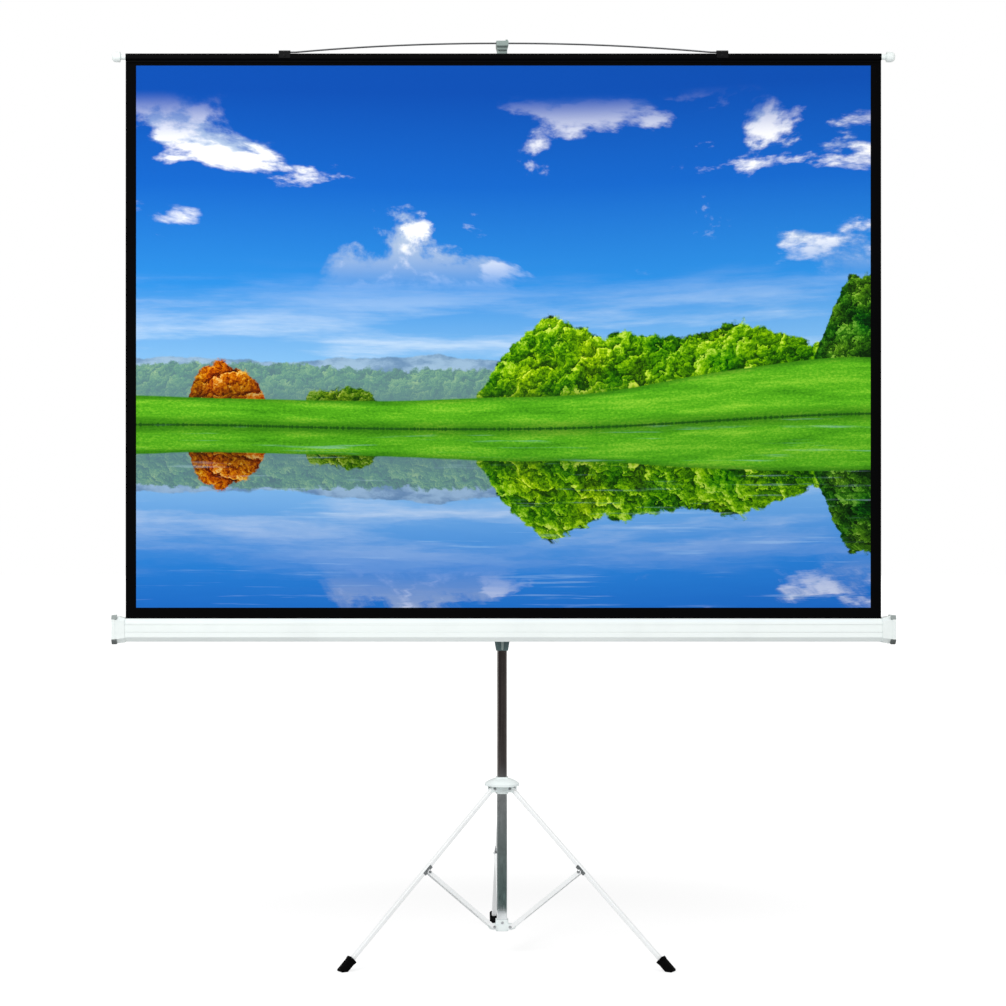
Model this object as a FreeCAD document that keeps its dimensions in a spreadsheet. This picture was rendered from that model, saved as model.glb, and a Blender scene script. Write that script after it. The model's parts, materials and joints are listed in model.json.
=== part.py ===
"""Portable tripod projection screen, pulled up and hooked on its mast.

Every length is in millimetres. The pieces are laid out round the pole: u runs outward from the
pole's axis, z is the height above the floor, and the whole stand is moved along Y at the end so
that the origin lies under the middle of its footprint.
"""

import FreeCAD, Part

import math
import os

import Sketcher

Vector = FreeCAD.Vector

# Driving dimensions: name, millimetres or degrees, what it is.
DRIVING = [
    # pole and mast
    ("tube_side", 23.0, "outside of the square pole tube"),
    ("tube_wall", 1.2, "wall of the pole tube"),
    ("tube_round", 3.5, "outside corner radius of the pole tube"),
    ("tube_base", 60.0, "height of the pole tube's lower end"),
    ("tube_top", 1250.0, "height of the pole tube's upper end"),
    ("mast_wall", 1.2, "wall of the sliding mast"),
    ("mast_overlap", 210.0, "length of mast left inside the pole"),
    ("slide_gap", 0.3, "clearance on each side of a sliding fit"),
    ("seat_gap", 0.05, "clearance on each side of a fixed fit"),
    ("pin_gap", 0.3, "clearance round a pivot pin"),
    ("face_gap", 0.1, "clearance between two flat faces that rub"),
    ("overrun", 2.0, "how far a cut runs past the face it opens"),
    # lower hub
    ("hub_wall", 3.2, "wall of both hubs round the pole"),
    ("hub_round", 6.0, "outside corner radius of both hubs"),
    ("hub_floor", 4.0, "floor under the pole in the lower hub"),
    ("low_hub_height", 27.0, "height of the lower hub"),
    ("low_pin_reach", 26.0, "distance of a lower brace pivot from the pole's axis"),
    ("low_pin_height", 67.0, "height of the lower brace pivots"),
    ("lug_round", 7.0, "radius of the lower hub's lugs round their pivots"),
    # sliding leg hub
    ("leg_pin_reach", 26.0, "distance of a leg pivot from the pole's axis"),
    ("leg_pin_height", 391.0, "height of the leg pivots"),
    ("leg_hub_base", 378.0, "height of the sliding hub's lower end"),
    ("leg_hub_height", 39.0, "height of the sliding hub"),
    ("dome_radius", 40.8, "radius of the dome over the legs"),
    ("dome_rim_low", 397.0, "height of the dome's rim, lower edge"),
    ("dome_rim", 5.0, "height of the dome's rim"),
    ("dome_wall", 3.0, "wall of the dome"),
    ("dome_bow", 46.0, "radius of the dome's curve"),
    ("ear_wall", 4.0, "thickness of a leg clevis ear"),
    ("ear_reach", 33.5, "distance of the ears' outer edge from the pole's axis"),
    ("ear_low", 382.5, "height of the ears' lower edge"),
    # legs
    ("leg_angle", 46.0, "angle between an open leg and the pole, degrees"),
    ("leg_depth", 10.0, "leg tube across, in the leg's own plane"),
    ("leg_width", 12.0, "leg tube across, square to the leg's plane"),
    ("leg_wall", 1.2, "wall of the leg tube"),
    ("leg_round", 2.5, "corner radius of the leg tube"),
    ("leg_head", 7.0, "leg tube above its pivot"),
    ("leg_length", 545.0, "leg tube below its pivot"),
    ("brace_station", 253.0, "distance from the leg's pivot to the brace bracket"),
    ("brace_drop", 8.0, "distance of the brace pivot from the leg's centreline"),
    ("bracket_wall", 1.2, "sheet of the brace bracket"),
    ("bracket_length", 26.0, "length of the brace bracket's saddle"),
    ("bracket_lip", 2.5, "how far the saddle's sides pass the leg's centreline"),
    ("bracket_ear", 4.6, "radius of the bracket's ears"),
    ("boot_depth", 19.0, "rubber foot across, in the leg's plane"),
    ("boot_width", 20.0, "rubber foot across, square to the leg's plane"),
    ("boot_round", 5.0, "corner radius of the rubber foot"),
    ("boot_start", 525.0, "distance from the leg's pivot to the rubber foot"),
    ("sole_length", 20.0, "level length of a foot's sole, away from the pole"),
    ("toe_round", 4.0, "rounding of a foot's outer edge on the floor"),
    ("boot_collar", 6.0, "length of the collar round the foot's mouth"),
    ("boot_collar_wall", 1.2, "how far that collar stands proud"),
    # braces
    ("brace_wall", 1.2, "sheet of the brace channel"),
    ("brace_back", 4.2, "distance from the pivot line to the channel's back"),
    ("brace_lip", 5.0, "distance from the pivot line to the channel's open edges"),
    ("brace_end", 5.0, "channel beyond each pivot"),
    ("brace_corner", 3.6, "corner radius of the channel's ends"),
    ("top_cut", 6.5, "length of the back cut away below the upper pivot"),
    ("low_cut", 41.0, "length of the back cut away above the lower pivot"),
    ("side_gap", 0.3, "clearance beside a lug or a bracket"),
    ("rivet_radius", 2.0, "radius of a rivet's shank"),
    ("rivet_head", 3.8, "radius of a rivet's head"),
    ("rivet_rise", 1.6, "height of a rivet's head"),
    # carrier and swivel
    ("carrier_width", 35.0, "carrier across the screen"),
    ("carrier_depth", 32.0, "carrier front to back"),
    ("carrier_round", 5.0, "corner radius of the carrier"),
    ("carrier_base", 714.0, "height of the carrier's lower end"),
    ("carrier_shoulder", 736.0, "height where the carrier reaches its full width"),
    ("carrier_top", 812.0, "height of the carrier's upper end"),
    ("carrier_tip", 27.5, "width of the carrier at its lower end"),
    ("boss_radius", 21.0, "radius of the swivel boss"),
    ("bolt_radius", 4.0, "radius of the swivel bolt"),
    ("bolt_head", 9.0, "radius of the swivel bolt's head"),
    ("bolt_rise", 3.0, "height of the swivel bolt's head"),
    ("bolt_grip", 7.0, "length of the swivel bolt in its boss"),
    ("washer_radius", 17.0, "radius of the swivel's friction washer"),
    ("washer_thickness", 1.6, "thickness of the swivel's friction washer"),
    ("plate_width", 92.0, "swivel plate across the screen"),
    ("plate_height", 40.0, "height of the swivel plate"),
    ("plate_sheet", 2.0, "sheet of the swivel plate"),
    ("plate_rise", 6.0, "how far the swivel plate stands off the case"),
    ("plate_pan", 24.0, "half width of the swivel plate's raised pan"),
    ("plate_slope", 4.0, "run of the swivel plate's sloping sides"),
    ("plate_rivet_x", 37.0, "place of the plate's rivets along the screen"),
    ("plate_rivet_z", 12.0, "place of the plate's rivets above its middle"),
    # clamp knobs
    ("knob_radius", 17.0, "radius of a clamp knob"),
    ("knob_length", 13.0, "length of a clamp knob's grip"),
    ("knob_neck", 7.5, "radius of a clamp knob's neck"),
    ("knob_neck_length", 5.0, "length of a clamp knob's neck"),
    ("knob_scallop", 4.6, "radius of the finger hollows round a clamp knob"),
    ("knob_crown", 2.5, "rounding of a clamp knob's outer edge"),
    ("stud_radius", 3.0, "radius of a clamp screw"),
    ("knob_boss", 9.0, "radius of the boss round a clamp screw"),
    ("knob_boss_length", 6.0, "how far that boss stands off"),
    ("carrier_knob_height", 792.0, "height of the carrier's clamp screw"),
    ("knob_standoff", 3.0, "gap between a knob and its boss"),
    # collar at the top of the pole
    ("collar_side", 33.0, "outside of the mast collar"),
    ("collar_height", 30.0, "height of the mast collar"),
    ("collar_lip", 12.0, "part of the collar above the pole tube"),
    ("collar_round", 7.0, "corner radius of the mast collar"),
    # case
    ("case_height_mid", 765.0, "height of the middle of the case"),
    ("case_offset", 57.0, "distance of the case's middle in front of the pole's axis"),
    ("case_depth", 50.0, "case front to back"),
    ("case_height", 54.0, "height of the case"),
    ("case_wall", 1.3, "wall of the case"),
    ("case_margin", 31.5, "how far the case passes the fabric at each end"),
    ("top_bevel", 8.0, "bevel along the case's upper edges"),
    ("low_bevel", 11.0, "bevel along the case's lower edges"),
    ("case_soft", 2.5, "rounding of the case's long edges"),
    ("slot_half", 2.2, "half the width of the slot for the fabric"),
    ("slot_lip", 3.0, "depth of the lips turned down beside the slot"),
    ("groove_depth", 0.5, "depth of the two lines along the case's front"),
    ("groove_half", 0.7, "half the height of those lines"),
    ("groove_high", 13.0, "height of the upper line above the case's middle"),
    ("groove_low", -4.0, "height of the lower line from the case's middle"),
    ("cap_plate", 8.0, "thickness of an end cap's outer plate"),
    ("cap_collar", 22.5, "length of an end cap's tapered collar"),
    ("cap_rise", 8.0, "how far the end plate stands above the case"),
    ("cap_fall", 5.0, "how far the end plate stands below the case"),
    ("cap_side", 4.0, "how far the end plate stands out at front and back"),
    ("cap_wall", 1.7, "wall of the end cap round the case"),
    ("cap_soft", 2.0, "rounding of the end plate's rim"),
    ("bearing_boss", 9.0, "radius of the roller bearing inside a cap"),
    ("bearing_length", 12.0, "length of that bearing"),
    ("cap_rivet_inset", 12.0, "distance of the cap's rivets from its end plate"),
    # roller and its spring
    ("roller_radius", 13.5, "outside radius of the roller tube"),
    ("roller_wall", 0.8, "wall of the roller tube"),
    ("roller_offset", 4.8, "how far the roller sits behind the case's middle"),
    ("roller_margin", 0.5, "how far the roller tube passes the fabric's edge"),
    ("wrap", 0.5, "fabric left round the roller when the screen is up"),
    ("plug_length", 20.0, "length of a roller plug inside the tube"),
    ("plug_flange", 2.0, "thickness of a roller plug's flange"),
    ("journal_radius", 3.0, "radius of the idle plug's journal"),
    ("shaft_radius", 4.0, "radius of the fixed spring shaft"),
    ("shaft_length", 380.0, "length of the fixed spring shaft"),
    ("spring_radius", 8.0, "mean radius of the torsion spring"),
    ("spring_wire", 0.8, "radius of the spring's wire"),
    ("spring_length", 190.0, "length of the torsion spring"),
    ("spring_turns", 18.0, "turns of the torsion spring"),
    ("anchor_length", 12.0, "length of the spring's anchor in the roller"),
    ("seat_length", 14.0, "length of the collar that the spring's fixed end grips"),
    # fabric, slat and bail
    ("fabric_width", 1754.0, "width of the fabric and of the slat"),
    ("fabric_sheet", 0.5, "thickness of the fabric"),
    ("screen_rise", 1330.4, "height of the slat's middle above the case's middle"),
    ("slat_height", 16.0, "height of the slat"),
    ("slat_depth", 12.0, "slat front to back"),
    ("slat_round", 4.5, "corner radius of the slat"),
    ("slat_wall", 1.2, "wall of the slat"),
    ("slat_plug", 14.0, "length of a slat knob's plug inside the slat"),
    ("slat_plug_radius", 4.6, "radius of that plug"),
    ("slat_neck", 6.5, "radius of a slat knob's neck"),
    ("slat_knob", 12.0, "radius of a slat knob"),
    ("slat_knob_length", 19.0, "length of a slat knob's head"),
    ("slat_closed_gap", 4.5, "gap under the slat when it is down on the case"),
    ("cradle_gap", 0.6, "clearance of a slat knob in its cradle"),
    ("clip_place", 508.0, "distance of a bail clip from the middle"),
    ("clip_width", 27.0, "bail clip along the slat"),
    ("clip_rise", 6.8, "how far a bail clip stands above the slat"),
    ("clip_sheet", 1.6, "thickness of the clip's front tab"),
    ("clip_tab", 11.0, "length of the clip's front tab"),
    ("clip_pin_rise", 3.2, "height of the bail's pivot above the slat"),
    ("wire_radius", 2.0, "radius of the bail wire"),
    ("wire_tail", 10.0, "length of the bail's straight end inside its clip"),
    ("wire_bend", 24.0, "radius of the bail's bend at its clip"),
    ("wire_flat", 30.0, "straight stretch of the bail in the hook"),
    ("hook_reach", 20.4, "distance of the hooked wire in front of the pole's axis"),
    ("hook_rise", 40.5, "height of the hooked wire above the slat's middle"),
    # hook cap
    ("cap_width", 28.0, "hook cap across the screen"),
    ("cap_depth", 24.0, "how far the hook cap reaches below the hooked wire"),
    ("cap_over", 6.0, "height of the hook cap's shoulder above the hooked wire"),
    ("cap_taper", 5.0, "where the cap starts to narrow, below the hooked wire"),
    ("mast_drop", 1.0, "how far the mast ends below the hooked wire"),
    ("cap_screw_drop", 8.0, "distance of the cap's screw from the mast's end"),
    ("cap_back", 13.0, "distance of the cap's back from the pole's axis"),
    ("skirt_width", 23.6, "width of the cap's narrow skirt"),
    ("skirt_height", 10.0, "height of that skirt"),
    ("hook_gap", 0.4, "clearance under and beside the wire in its hook"),
    ("hook_floor", 7.0, "thickness of the hook under the wire"),
    ("hook_lip", 2.8, "thickness of the hook's front lip"),
    ("hook_lip_rise", 5.4, "how far the lip stands above the wire's middle"),
    ("horn_width", 5.0, "width of the two horns on the cap"),
    ("horn_depth", 6.0, "depth of the two horns on the cap"),
    ("horn_left_rise", 3.0, "height of the left horn"),
    ("horn_right_rise", 8.0, "height of the right horn"),
    # screws
    ("screw_radius", 1.6, "radius of a small screw"),
    ("screw_head", 3.2, "radius of a small screw's head"),
    ("screw_rise", 2.0, "height of a small screw's head"),
    ("screw_length", 8.0, "length of a small screw"),
    ("hub_screw_height", 76.5, "height of the lower hub's screw"),
    ("stop_head", 3.6, "radius of the stop rivet's head"),
]

FULL_TURN, HALF_TURN, RIGHT_ANGLE, BEVEL_ANGLE = 360, 180, 90, 45
LEG_COUNT = 3
REAR_LEG, LEFT_LEG, RIGHT_LEG = 90, 210, 330
LEGS = [("left", LEFT_LEG), ("right", RIGHT_LEG), ("rear", REAR_LEG)]
SCALLOPS = 7
WHOLE, HALF, QUARTER = 1, 0.5, 0.25


class Size:
    """A number of the sheet with the expression that gives it, so that sums keep both."""

    def __init__(self, number, text):
        self.number = number
        self.text = text

    def __float__(self):
        return float(self.number)

    def __add__(self, other):
        return Size(self.number + float(other), f"({self.text} + {spell(other)})")

    def __radd__(self, other):
        return Size(float(other) + self.number, f"({spell(other)} + {self.text})")

    def __sub__(self, other):
        return Size(self.number - float(other), f"({self.text} - {spell(other)})")

    def __rsub__(self, other):
        return Size(float(other) - self.number, f"({spell(other)} - {self.text})")

    def __mul__(self, factor):
        return Size(self.number * float(factor), f"({self.text} * {spell(factor)})")

    __rmul__ = __mul__

    def __truediv__(self, divisor):
        return Size(self.number / float(divisor), f"({self.text} / {spell(divisor)})")

    def __neg__(self):
        return Size(-self.number, f"(0 - {self.text})")


def spell(number):
    """The expression of a size, or a plain number written out."""
    return number.text if isinstance(number, Size) else repr(float(number))


class Sizes:
    """The sheet's values by name."""


doc = FreeCAD.newDocument("projection_screen")
sheet = doc.addObject("Spreadsheet::Sheet", "dims")
d = Sizes()
row_count = 0


def keep(name, number, note):
    """Write one named value to the sheet, and hold it as a Size."""
    global row_count
    row_count += 1
    sheet.set(f"A{row_count}", name)
    sheet.set(f"B{row_count}", repr(float(number)))
    sheet.set(f"C{row_count}", note)
    sheet.setAlias(f"B{row_count}", name)
    setattr(d, name, Size(float(number), f"dims.{name}"))


def lean_to(u, z):
    """Degrees from straight down to the direction (u, z), positive outward."""
    return math.degrees(math.atan2(u, -z))


def work_out():
    """The sizes that follow from the driving ones."""
    angle = math.radians(float(d.leg_angle))
    sine, cosine = math.sin(angle), math.cos(angle)
    station, drop = float(d.brace_station), float(d.brace_drop)
    pin_reach = float(d.leg_pin_reach) + station * sine - drop * cosine
    pin_height = float(d.leg_pin_height) - station * cosine - drop * sine
    run = pin_reach - float(d.low_pin_reach)
    rise = pin_height - float(d.low_pin_height)
    keep("brace_pin_reach", pin_reach, "distance of a brace's upper pivot from the pole's axis")
    keep("brace_pin_height", pin_height, "height of a brace's upper pivot")
    keep("brace_length", math.hypot(run, rise), "brace from pivot to pivot")
    keep("brace_angle", lean_to(-run, -rise), "angle of an open brace, degrees")
    reach, sole = float(d.boot_depth), float(d.sole_length)
    height = float(d.leg_pin_height)
    keep("sole_near", (height - reach * sine) / cosine, "leg pivot to floor, inner side")
    heel = (height - reach * HALF * sine) / cosine
    across, along = sole * cosine - reach * HALF, heel + sole * sine
    keep("toe_across", across, "distance of a foot's toe from the leg's centreline")
    keep("toe_along", along, "leg pivot to the foot's toe, along the leg")
    rise = (reach - across) / sine
    keep("toe_side", along - rise * cosine, "leg pivot to where the toe's upright face leaves the foot")
    foot = float(d.leg_pin_reach) + along * sine + across * cosine
    keep("foot_reach", foot, "distance of a sole's outer edge from the pole's axis")
    front = foot * math.sin(math.radians(LEFT_LEG)) - float(d.boot_width) * HALF * math.cos(
        math.radians(RIGHT_LEG)
    )
    keep("pole_y", -(foot + front) * HALF, "place of the pole's axis in the footprint")
    keep("case_length", float(d.fabric_width + 2 * d.case_margin), "case with its end caps")
    keep("slat_mid", float(d.case_height_mid + d.screen_rise), "height of the slat's middle")
    keep("hook_height", float(d.slat_mid + d.hook_rise), "height of the hooked wire")
    keep("mast_top", float(d.hook_height - d.mast_drop), "height of the mast's upper end")
    keep("cap_base", float(d.hook_height - d.cap_depth), "height of the hook cap's lower end")
    keep("cap_top", float(d.hook_height + d.cap_over), "height of the hook cap's shoulder")
    hook_run = float(d.case_offset - d.roller_offset) + float(d.roller_radius + d.wrap)
    hook_run += float(d.slide_gap) + float(d.fabric_sheet) * HALF
    keep("fabric_offset", hook_run, "distance of the fabric in front of the pole's axis")
    pivot_height = float(d.slat_mid + d.slat_height * HALF + d.clip_pin_rise)
    back, up = hook_run - float(d.hook_reach), float(d.hook_height) - pivot_height
    keep("bail_pin_height", pivot_height, "height of the bail's pivot")
    keep("bail_length", math.hypot(back, up), "bail from its pivot to the hooked wire")
    keep("bail_lean", math.degrees(math.atan2(up, back)), "angle of the bail above level")


for entry in DRIVING:
    keep(*entry)
work_out()
doc.recompute()

# Sizes that several pieces share.
mast_side = d.tube_side - 2 * d.tube_wall - 2 * d.slide_gap
mast_round = d.tube_round - d.tube_wall
hub_side = d.tube_side + 2 * d.hub_wall
lug_width = d.leg_width + 2 * d.bracket_wall
brace_width = lug_width + 2 * d.side_gap + 2 * d.brace_wall
leg_slot = d.leg_width + 2 * d.side_gap
clevis_width = leg_slot + 2 * d.ear_wall
sliding_bore = d.tube_side + 2 * d.slide_gap
half_case = d.case_length * HALF
half_fabric = d.fabric_width * HALF
collar_start = half_case - d.cap_plate - d.cap_collar
shell_half = half_case - d.cap_plate - d.seat_gap
fabric_place = d.case_offset - d.fabric_offset
slat_low = d.slat_mid - d.slat_height * HALF
slat_high = d.slat_mid + d.slat_height * HALF
case_top = d.case_height_mid + d.case_height * HALF
slat_travel = slat_low - case_top - d.slat_closed_gap
case_back = d.case_depth * HALF
boss_face = d.case_offset - case_back - d.plate_rise - d.washer_thickness - d.face_gap
collar_knob_height = d.tube_top - (d.collar_height - d.collar_lip) * HALF
tube_inner = d.roller_radius - d.roller_wall
roller_half = half_fabric + d.roller_margin
bevel_step = math.tan(math.radians(BEVEL_ANGLE * HALF))


def stand(x=0, y=0, z=0, azimuth=0, tilt=0):
    """A placement measured from the pole's axis: tilted about its own Y axis, then turned round the pole."""
    turn = FreeCAD.Rotation(Vector(0, 0, 1), azimuth)
    lean = FreeCAD.Rotation(Vector(0, 1, 0), tilt)
    base = turn.multVec(Vector(float(x), float(y), float(z)))
    return FreeCAD.Placement(base + Vector(0, float(d.pole_y), 0), turn.multiply(lean))


def body(label, placement):
    """An empty body with its label and placement."""
    made = doc.addObject("PartDesign::Body", label)
    made.Label = label
    made.Placement = placement
    return made


def sketch(owner, role, offset=None):
    """A sketch on one of the body's origin planes, moved along that plane's normal."""
    made = owner.newObject("Sketcher::SketchObject", "outline")
    plane = next(f for f in owner.Origin.OriginFeatures if f.Role == role)
    made.AttachmentSupport = [(plane, "")]
    made.MapMode = "FlatFace"
    if offset is not None:
        made.setExpression("AttachmentOffset.Base.z", spell(offset))
    return made


def bound(drawing, constraint, size):
    """Add a constraint whose value follows the sheet."""
    number = drawing.addConstraint(constraint)
    if isinstance(size, Size):
        drawing.setExpression(f"Constraints[{number}]", size.text)


def pin(drawing, index, position, x, y):
    """Fix a point of a sketch at (x, y)."""
    for kind, value, axis in (("DistanceX", x, -2), ("DistanceY", y, -1)):
        if float(value) == 0:
            drawing.addConstraint(Sketcher.Constraint("PointOnObject", index, position, axis))
        else:
            distance = Sketcher.Constraint(kind, index, position, float(value))
            bound(drawing, distance, value)


def arc_through(start, end, radius):
    """The short arc from start to end; a positive radius keeps its centre on the left."""
    chord = end - start
    left = Vector(-chord.y, chord.x, 0)
    left.normalize()
    rise = math.sqrt(radius * radius - (chord.Length * HALF) ** 2)
    centre = (start + end) * HALF + left * math.copysign(rise, radius)
    circle = Part.Circle(centre, Vector(0, 0, 1), abs(radius))
    first, last = (start, end) if radius > 0 else (end, start)
    angles = [math.atan2(p.y - centre.y, p.x - centre.x) for p in (first, last)]
    return Part.ArcOfCircle(circle, *angles)


def outline(drawing, points, bows=None):
    """A closed outline through points; bows gives the radius of each edge that is an arc."""
    bows = bows or {}
    spots = [Vector(float(x), float(y), 0) for x, y in points]
    edges = []
    for i, start in enumerate(spots):
        end = spots[(i + 1) % len(spots)]
        if i in bows:
            index = drawing.addGeometry(arc_through(start, end, float(bows[i])))
            edges.append((index, 1, 2) if float(bows[i]) > 0 else (index, 2, 1))
        else:
            edges.append((drawing.addGeometry(Part.LineSegment(start, end)), 1, 2))
    for i, (index, first, last) in enumerate(edges):
        following, its_first, _ = edges[(i + 1) % len(edges)]
        drawing.addConstraint(
            Sketcher.Constraint("Coincident", index, last, following, its_first)
        )
        pin(drawing, index, first, *points[i])
        if i in bows:
            radius = Sketcher.Constraint("Radius", index, abs(float(bows[i])))
            bound(drawing, radius, bows[i] if float(bows[i]) > 0 else -bows[i])
    return drawing


def disc(drawing, radius, x=0, y=0):
    """A full circle."""
    centre = Vector(float(x), float(y), 0)
    index = drawing.addGeometry(Part.Circle(centre, Vector(0, 0, 1), float(radius)))
    bound(drawing, Sketcher.Constraint("Radius", index, float(radius)), radius)
    pin(drawing, index, 3, x, y)
    return drawing


def rounded(drawing, width, height, radius, y=0):
    """A rectangle with round corners, its middle at (0, y)."""
    right, top = width * HALF, height * HALF
    low, high = y - top, y + top
    w, r = float(right), float(radius)
    a, b = float(low), float(high)
    corners = [(w - r, a + r, -90, 0), (w - r, b - r, 0, 90)]
    corners += [(r - w, b - r, 90, 180), (r - w, a + r, 180, 270)]
    sides = [((r - w, a), (w - r, a)), ((w, a + r), (w, b - r))]
    sides += [((w - r, b), (r - w, b)), ((-w, b - r), (-w, a + r))]
    lines = [
        drawing.addGeometry(Part.LineSegment(Vector(*p, 0), Vector(*q, 0))) for p, q in sides
    ]
    arcs = []
    for x, z, start, end in corners:
        circle = Part.Circle(Vector(x, z, 0), Vector(0, 0, 1), r)
        span = (math.radians(start), math.radians(end))
        arcs.append(drawing.addGeometry(Part.ArcOfCircle(circle, *span)))
    for i in range(len(lines)):
        after = lines[(i + 1) % len(lines)]
        drawing.addConstraint(Sketcher.Constraint("Tangent", lines[i], 2, arcs[i], 1))
        drawing.addConstraint(Sketcher.Constraint("Tangent", arcs[i], 2, after, 1))
    for i in (0, 2):
        drawing.addConstraint(Sketcher.Constraint("Horizontal", lines[i]))
        drawing.addConstraint(Sketcher.Constraint("Vertical", lines[i + 1]))
        drawing.addConstraint(Sketcher.Constraint("Equal", arcs[i], arcs[i + 1]))
    drawing.addConstraint(Sketcher.Constraint("Equal", arcs[0], arcs[2]))
    bound(drawing, Sketcher.Constraint("Radius", arcs[0], r), radius)
    for index, kind, value in (
        (lines[0], "DistanceY", low),
        (lines[2], "DistanceY", high),
        (lines[1], "DistanceX", right),
        (lines[3], "DistanceX", -right),
    ):
        bound(drawing, Sketcher.Constraint(kind, index, 1, float(value)), value)
    return drawing


def extrude(owner, drawing, length, both=False, back=False, cut=False):
    """A pad or a pocket of a sketch: to both sides, along its normal, or back against it."""
    kind = "PartDesign::Pocket" if cut else "PartDesign::Pad"
    made = owner.newObject(kind, "cut" if cut else "pad")
    made.Profile = drawing
    made.setExpression("Length", spell(length))
    made.SideType = "Symmetric" if both else "One side"
    made.Reversed = back
    return made


def revolve(owner, drawing, axis="V_Axis"):
    """A full turn of a sketch about one of its own axes."""
    made = owner.newObject("PartDesign::Revolution", "turned")
    made.Profile = drawing
    made.ReferenceAxis = (drawing, [axis])
    made.Angle = FULL_TURN
    return made


def spread(owner, features, count):
    """Repeat features evenly round the body's own Z axis."""
    made = owner.newObject("PartDesign::PolarPattern", "spread")
    made.Originals = features
    axis = next(f for f in owner.Origin.OriginFeatures if f.Role == "Z_Axis")
    made.Axis = (axis, [""])
    made.Angle = FULL_TURN
    made.Occurrences = count
    owner.Tip = made
    return made


def soften(owner, radius, pick):
    """Round every straight or circular edge of the body that pick accepts."""
    doc.recompute()
    base = owner.Tip
    names = [f"Edge{i + 1}" for i, edge in enumerate(base.Shape.Edges) if pick(edge)]
    made = owner.newObject("PartDesign::Fillet", "soft_edges")
    made.Base = (base, names)
    made.setExpression("Radius", spell(radius))
    return made


def runs_along(edge, axis):
    """True for a straight edge that is parallel to the axis."""
    if not isinstance(edge.Curve, Part.Line):
        return False
    return abs(edge.Curve.Direction.dot(axis)) > WHOLE - TINY


def lies_at(edge, height):
    """True for an edge that lies flat at this height of its own body."""
    return all(abs(v.Point.z - float(height)) < TINY for v in edge.Vertexes)


TINY = 1e-4


def rivet(label, placement, grip, shank, head, rise):
    """A rivet along its own Y axis with a domed head at each end of its grip."""
    made = body(label, placement)
    half = grip * HALF
    side = [(0, -half - rise), (head * HALF, -half - rise), (head, -half - rise * QUARTER)]
    side += [(head, -half), (shank, -half), (shank, half), (head, half)]
    side += [(head, half + rise * QUARTER), (head * HALF, half + rise), (0, half + rise)]
    revolve(made, outline(sketch(made, "XY_Plane"), side))
    return made


def screw(label, placement, length, shank, head, rise):
    """A pan-head screw that points along its own +Y axis, with its head behind the origin."""
    made = body(label, placement)
    side = [(0, -rise), (head * HALF, -rise), (head, -rise * HALF), (head, 0)]
    side += [(shank, 0), (shank, length), (0, length)]
    revolve(made, outline(sketch(made, "XY_Plane"), side))
    return made


def group(label, members):
    """Identical pieces kept together under one label, each still a solid of its own."""
    made = doc.addObject("Part::Compound", label)
    made.Label = label
    made.Links = members
    return made


def tube_sketch(drawing, side, radius, wall):
    """The section of a square tube."""
    rounded(drawing, side, side, radius)
    inner = side - 2 * wall
    return rounded(drawing, inner, inner, radius - wall)


def main_tube():
    """The chrome pole, drilled for the hub screw, the stop rivet and the mast's clamp screw."""
    made = body("main_tube", stand())
    section = tube_sketch(
        sketch(made, "XY_Plane", d.tube_base), d.tube_side, d.tube_round, d.tube_wall
    )
    extrude(made, section, d.tube_top - d.tube_base)
    front = disc(sketch(made, "XZ_Plane"), d.screw_radius + d.seat_gap, 0, d.hub_screw_height)
    extrude(made, front, d.tube_side, cut=True, back=True)
    rear = sketch(made, "XZ_Plane")
    disc(rear, d.rivet_radius + d.seat_gap, 0, stop_height())
    disc(rear, d.stud_radius + d.pin_gap, 0, collar_knob_height)
    extrude(made, rear, d.tube_side, cut=True)
    return made


def stop_height():
    """Height of the rivet that the sliding hub comes down on."""
    return d.leg_hub_base - d.slide_gap - d.stop_head


def low_hub():
    """The fixed hub: a socket for the pole with a stout lug for each brace."""
    made = body("lower_hub", stand())
    base = d.tube_base - d.hub_floor
    core = rounded(sketch(made, "XY_Plane", base), hub_side, hub_side, d.hub_round)
    extrude(made, core, d.low_hub_height)
    low, high = d.low_pin_height - d.lug_round, d.low_pin_height + d.lug_round
    root = d.tube_side * HALF
    arm = [(root, low), (d.low_pin_reach, low), (d.low_pin_reach, high), (root, high)]
    lug = extrude(made, outline(sketch(made, "YZ_Plane"), arm), lug_width, both=True)
    end = disc(sketch(made, "YZ_Plane"), d.lug_round, d.low_pin_reach, d.low_pin_height)
    tip = extrude(made, end, lug_width, both=True)
    hole = disc(
        sketch(made, "YZ_Plane"),
        d.rivet_radius + d.seat_gap,
        d.low_pin_reach,
        d.low_pin_height,
    )
    bore = extrude(made, hole, lug_width + d.overrun, both=True, cut=True)
    spread(made, [lug, tip, bore], LEG_COUNT)
    mouth = d.tube_side + 2 * d.seat_gap
    socket = rounded(sketch(made, "XY_Plane", d.tube_base), mouth, mouth, d.tube_round)
    extrude(made, socket, d.low_hub_height, cut=True, back=True)
    front = disc(sketch(made, "XZ_Plane"), d.screw_radius + d.seat_gap, 0, d.hub_screw_height)
    extrude(made, front, hub_side, cut=True, back=True)
    soften(made, d.hub_wall * HALF, lambda edge: lies_at(edge, base))
    return made


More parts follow.
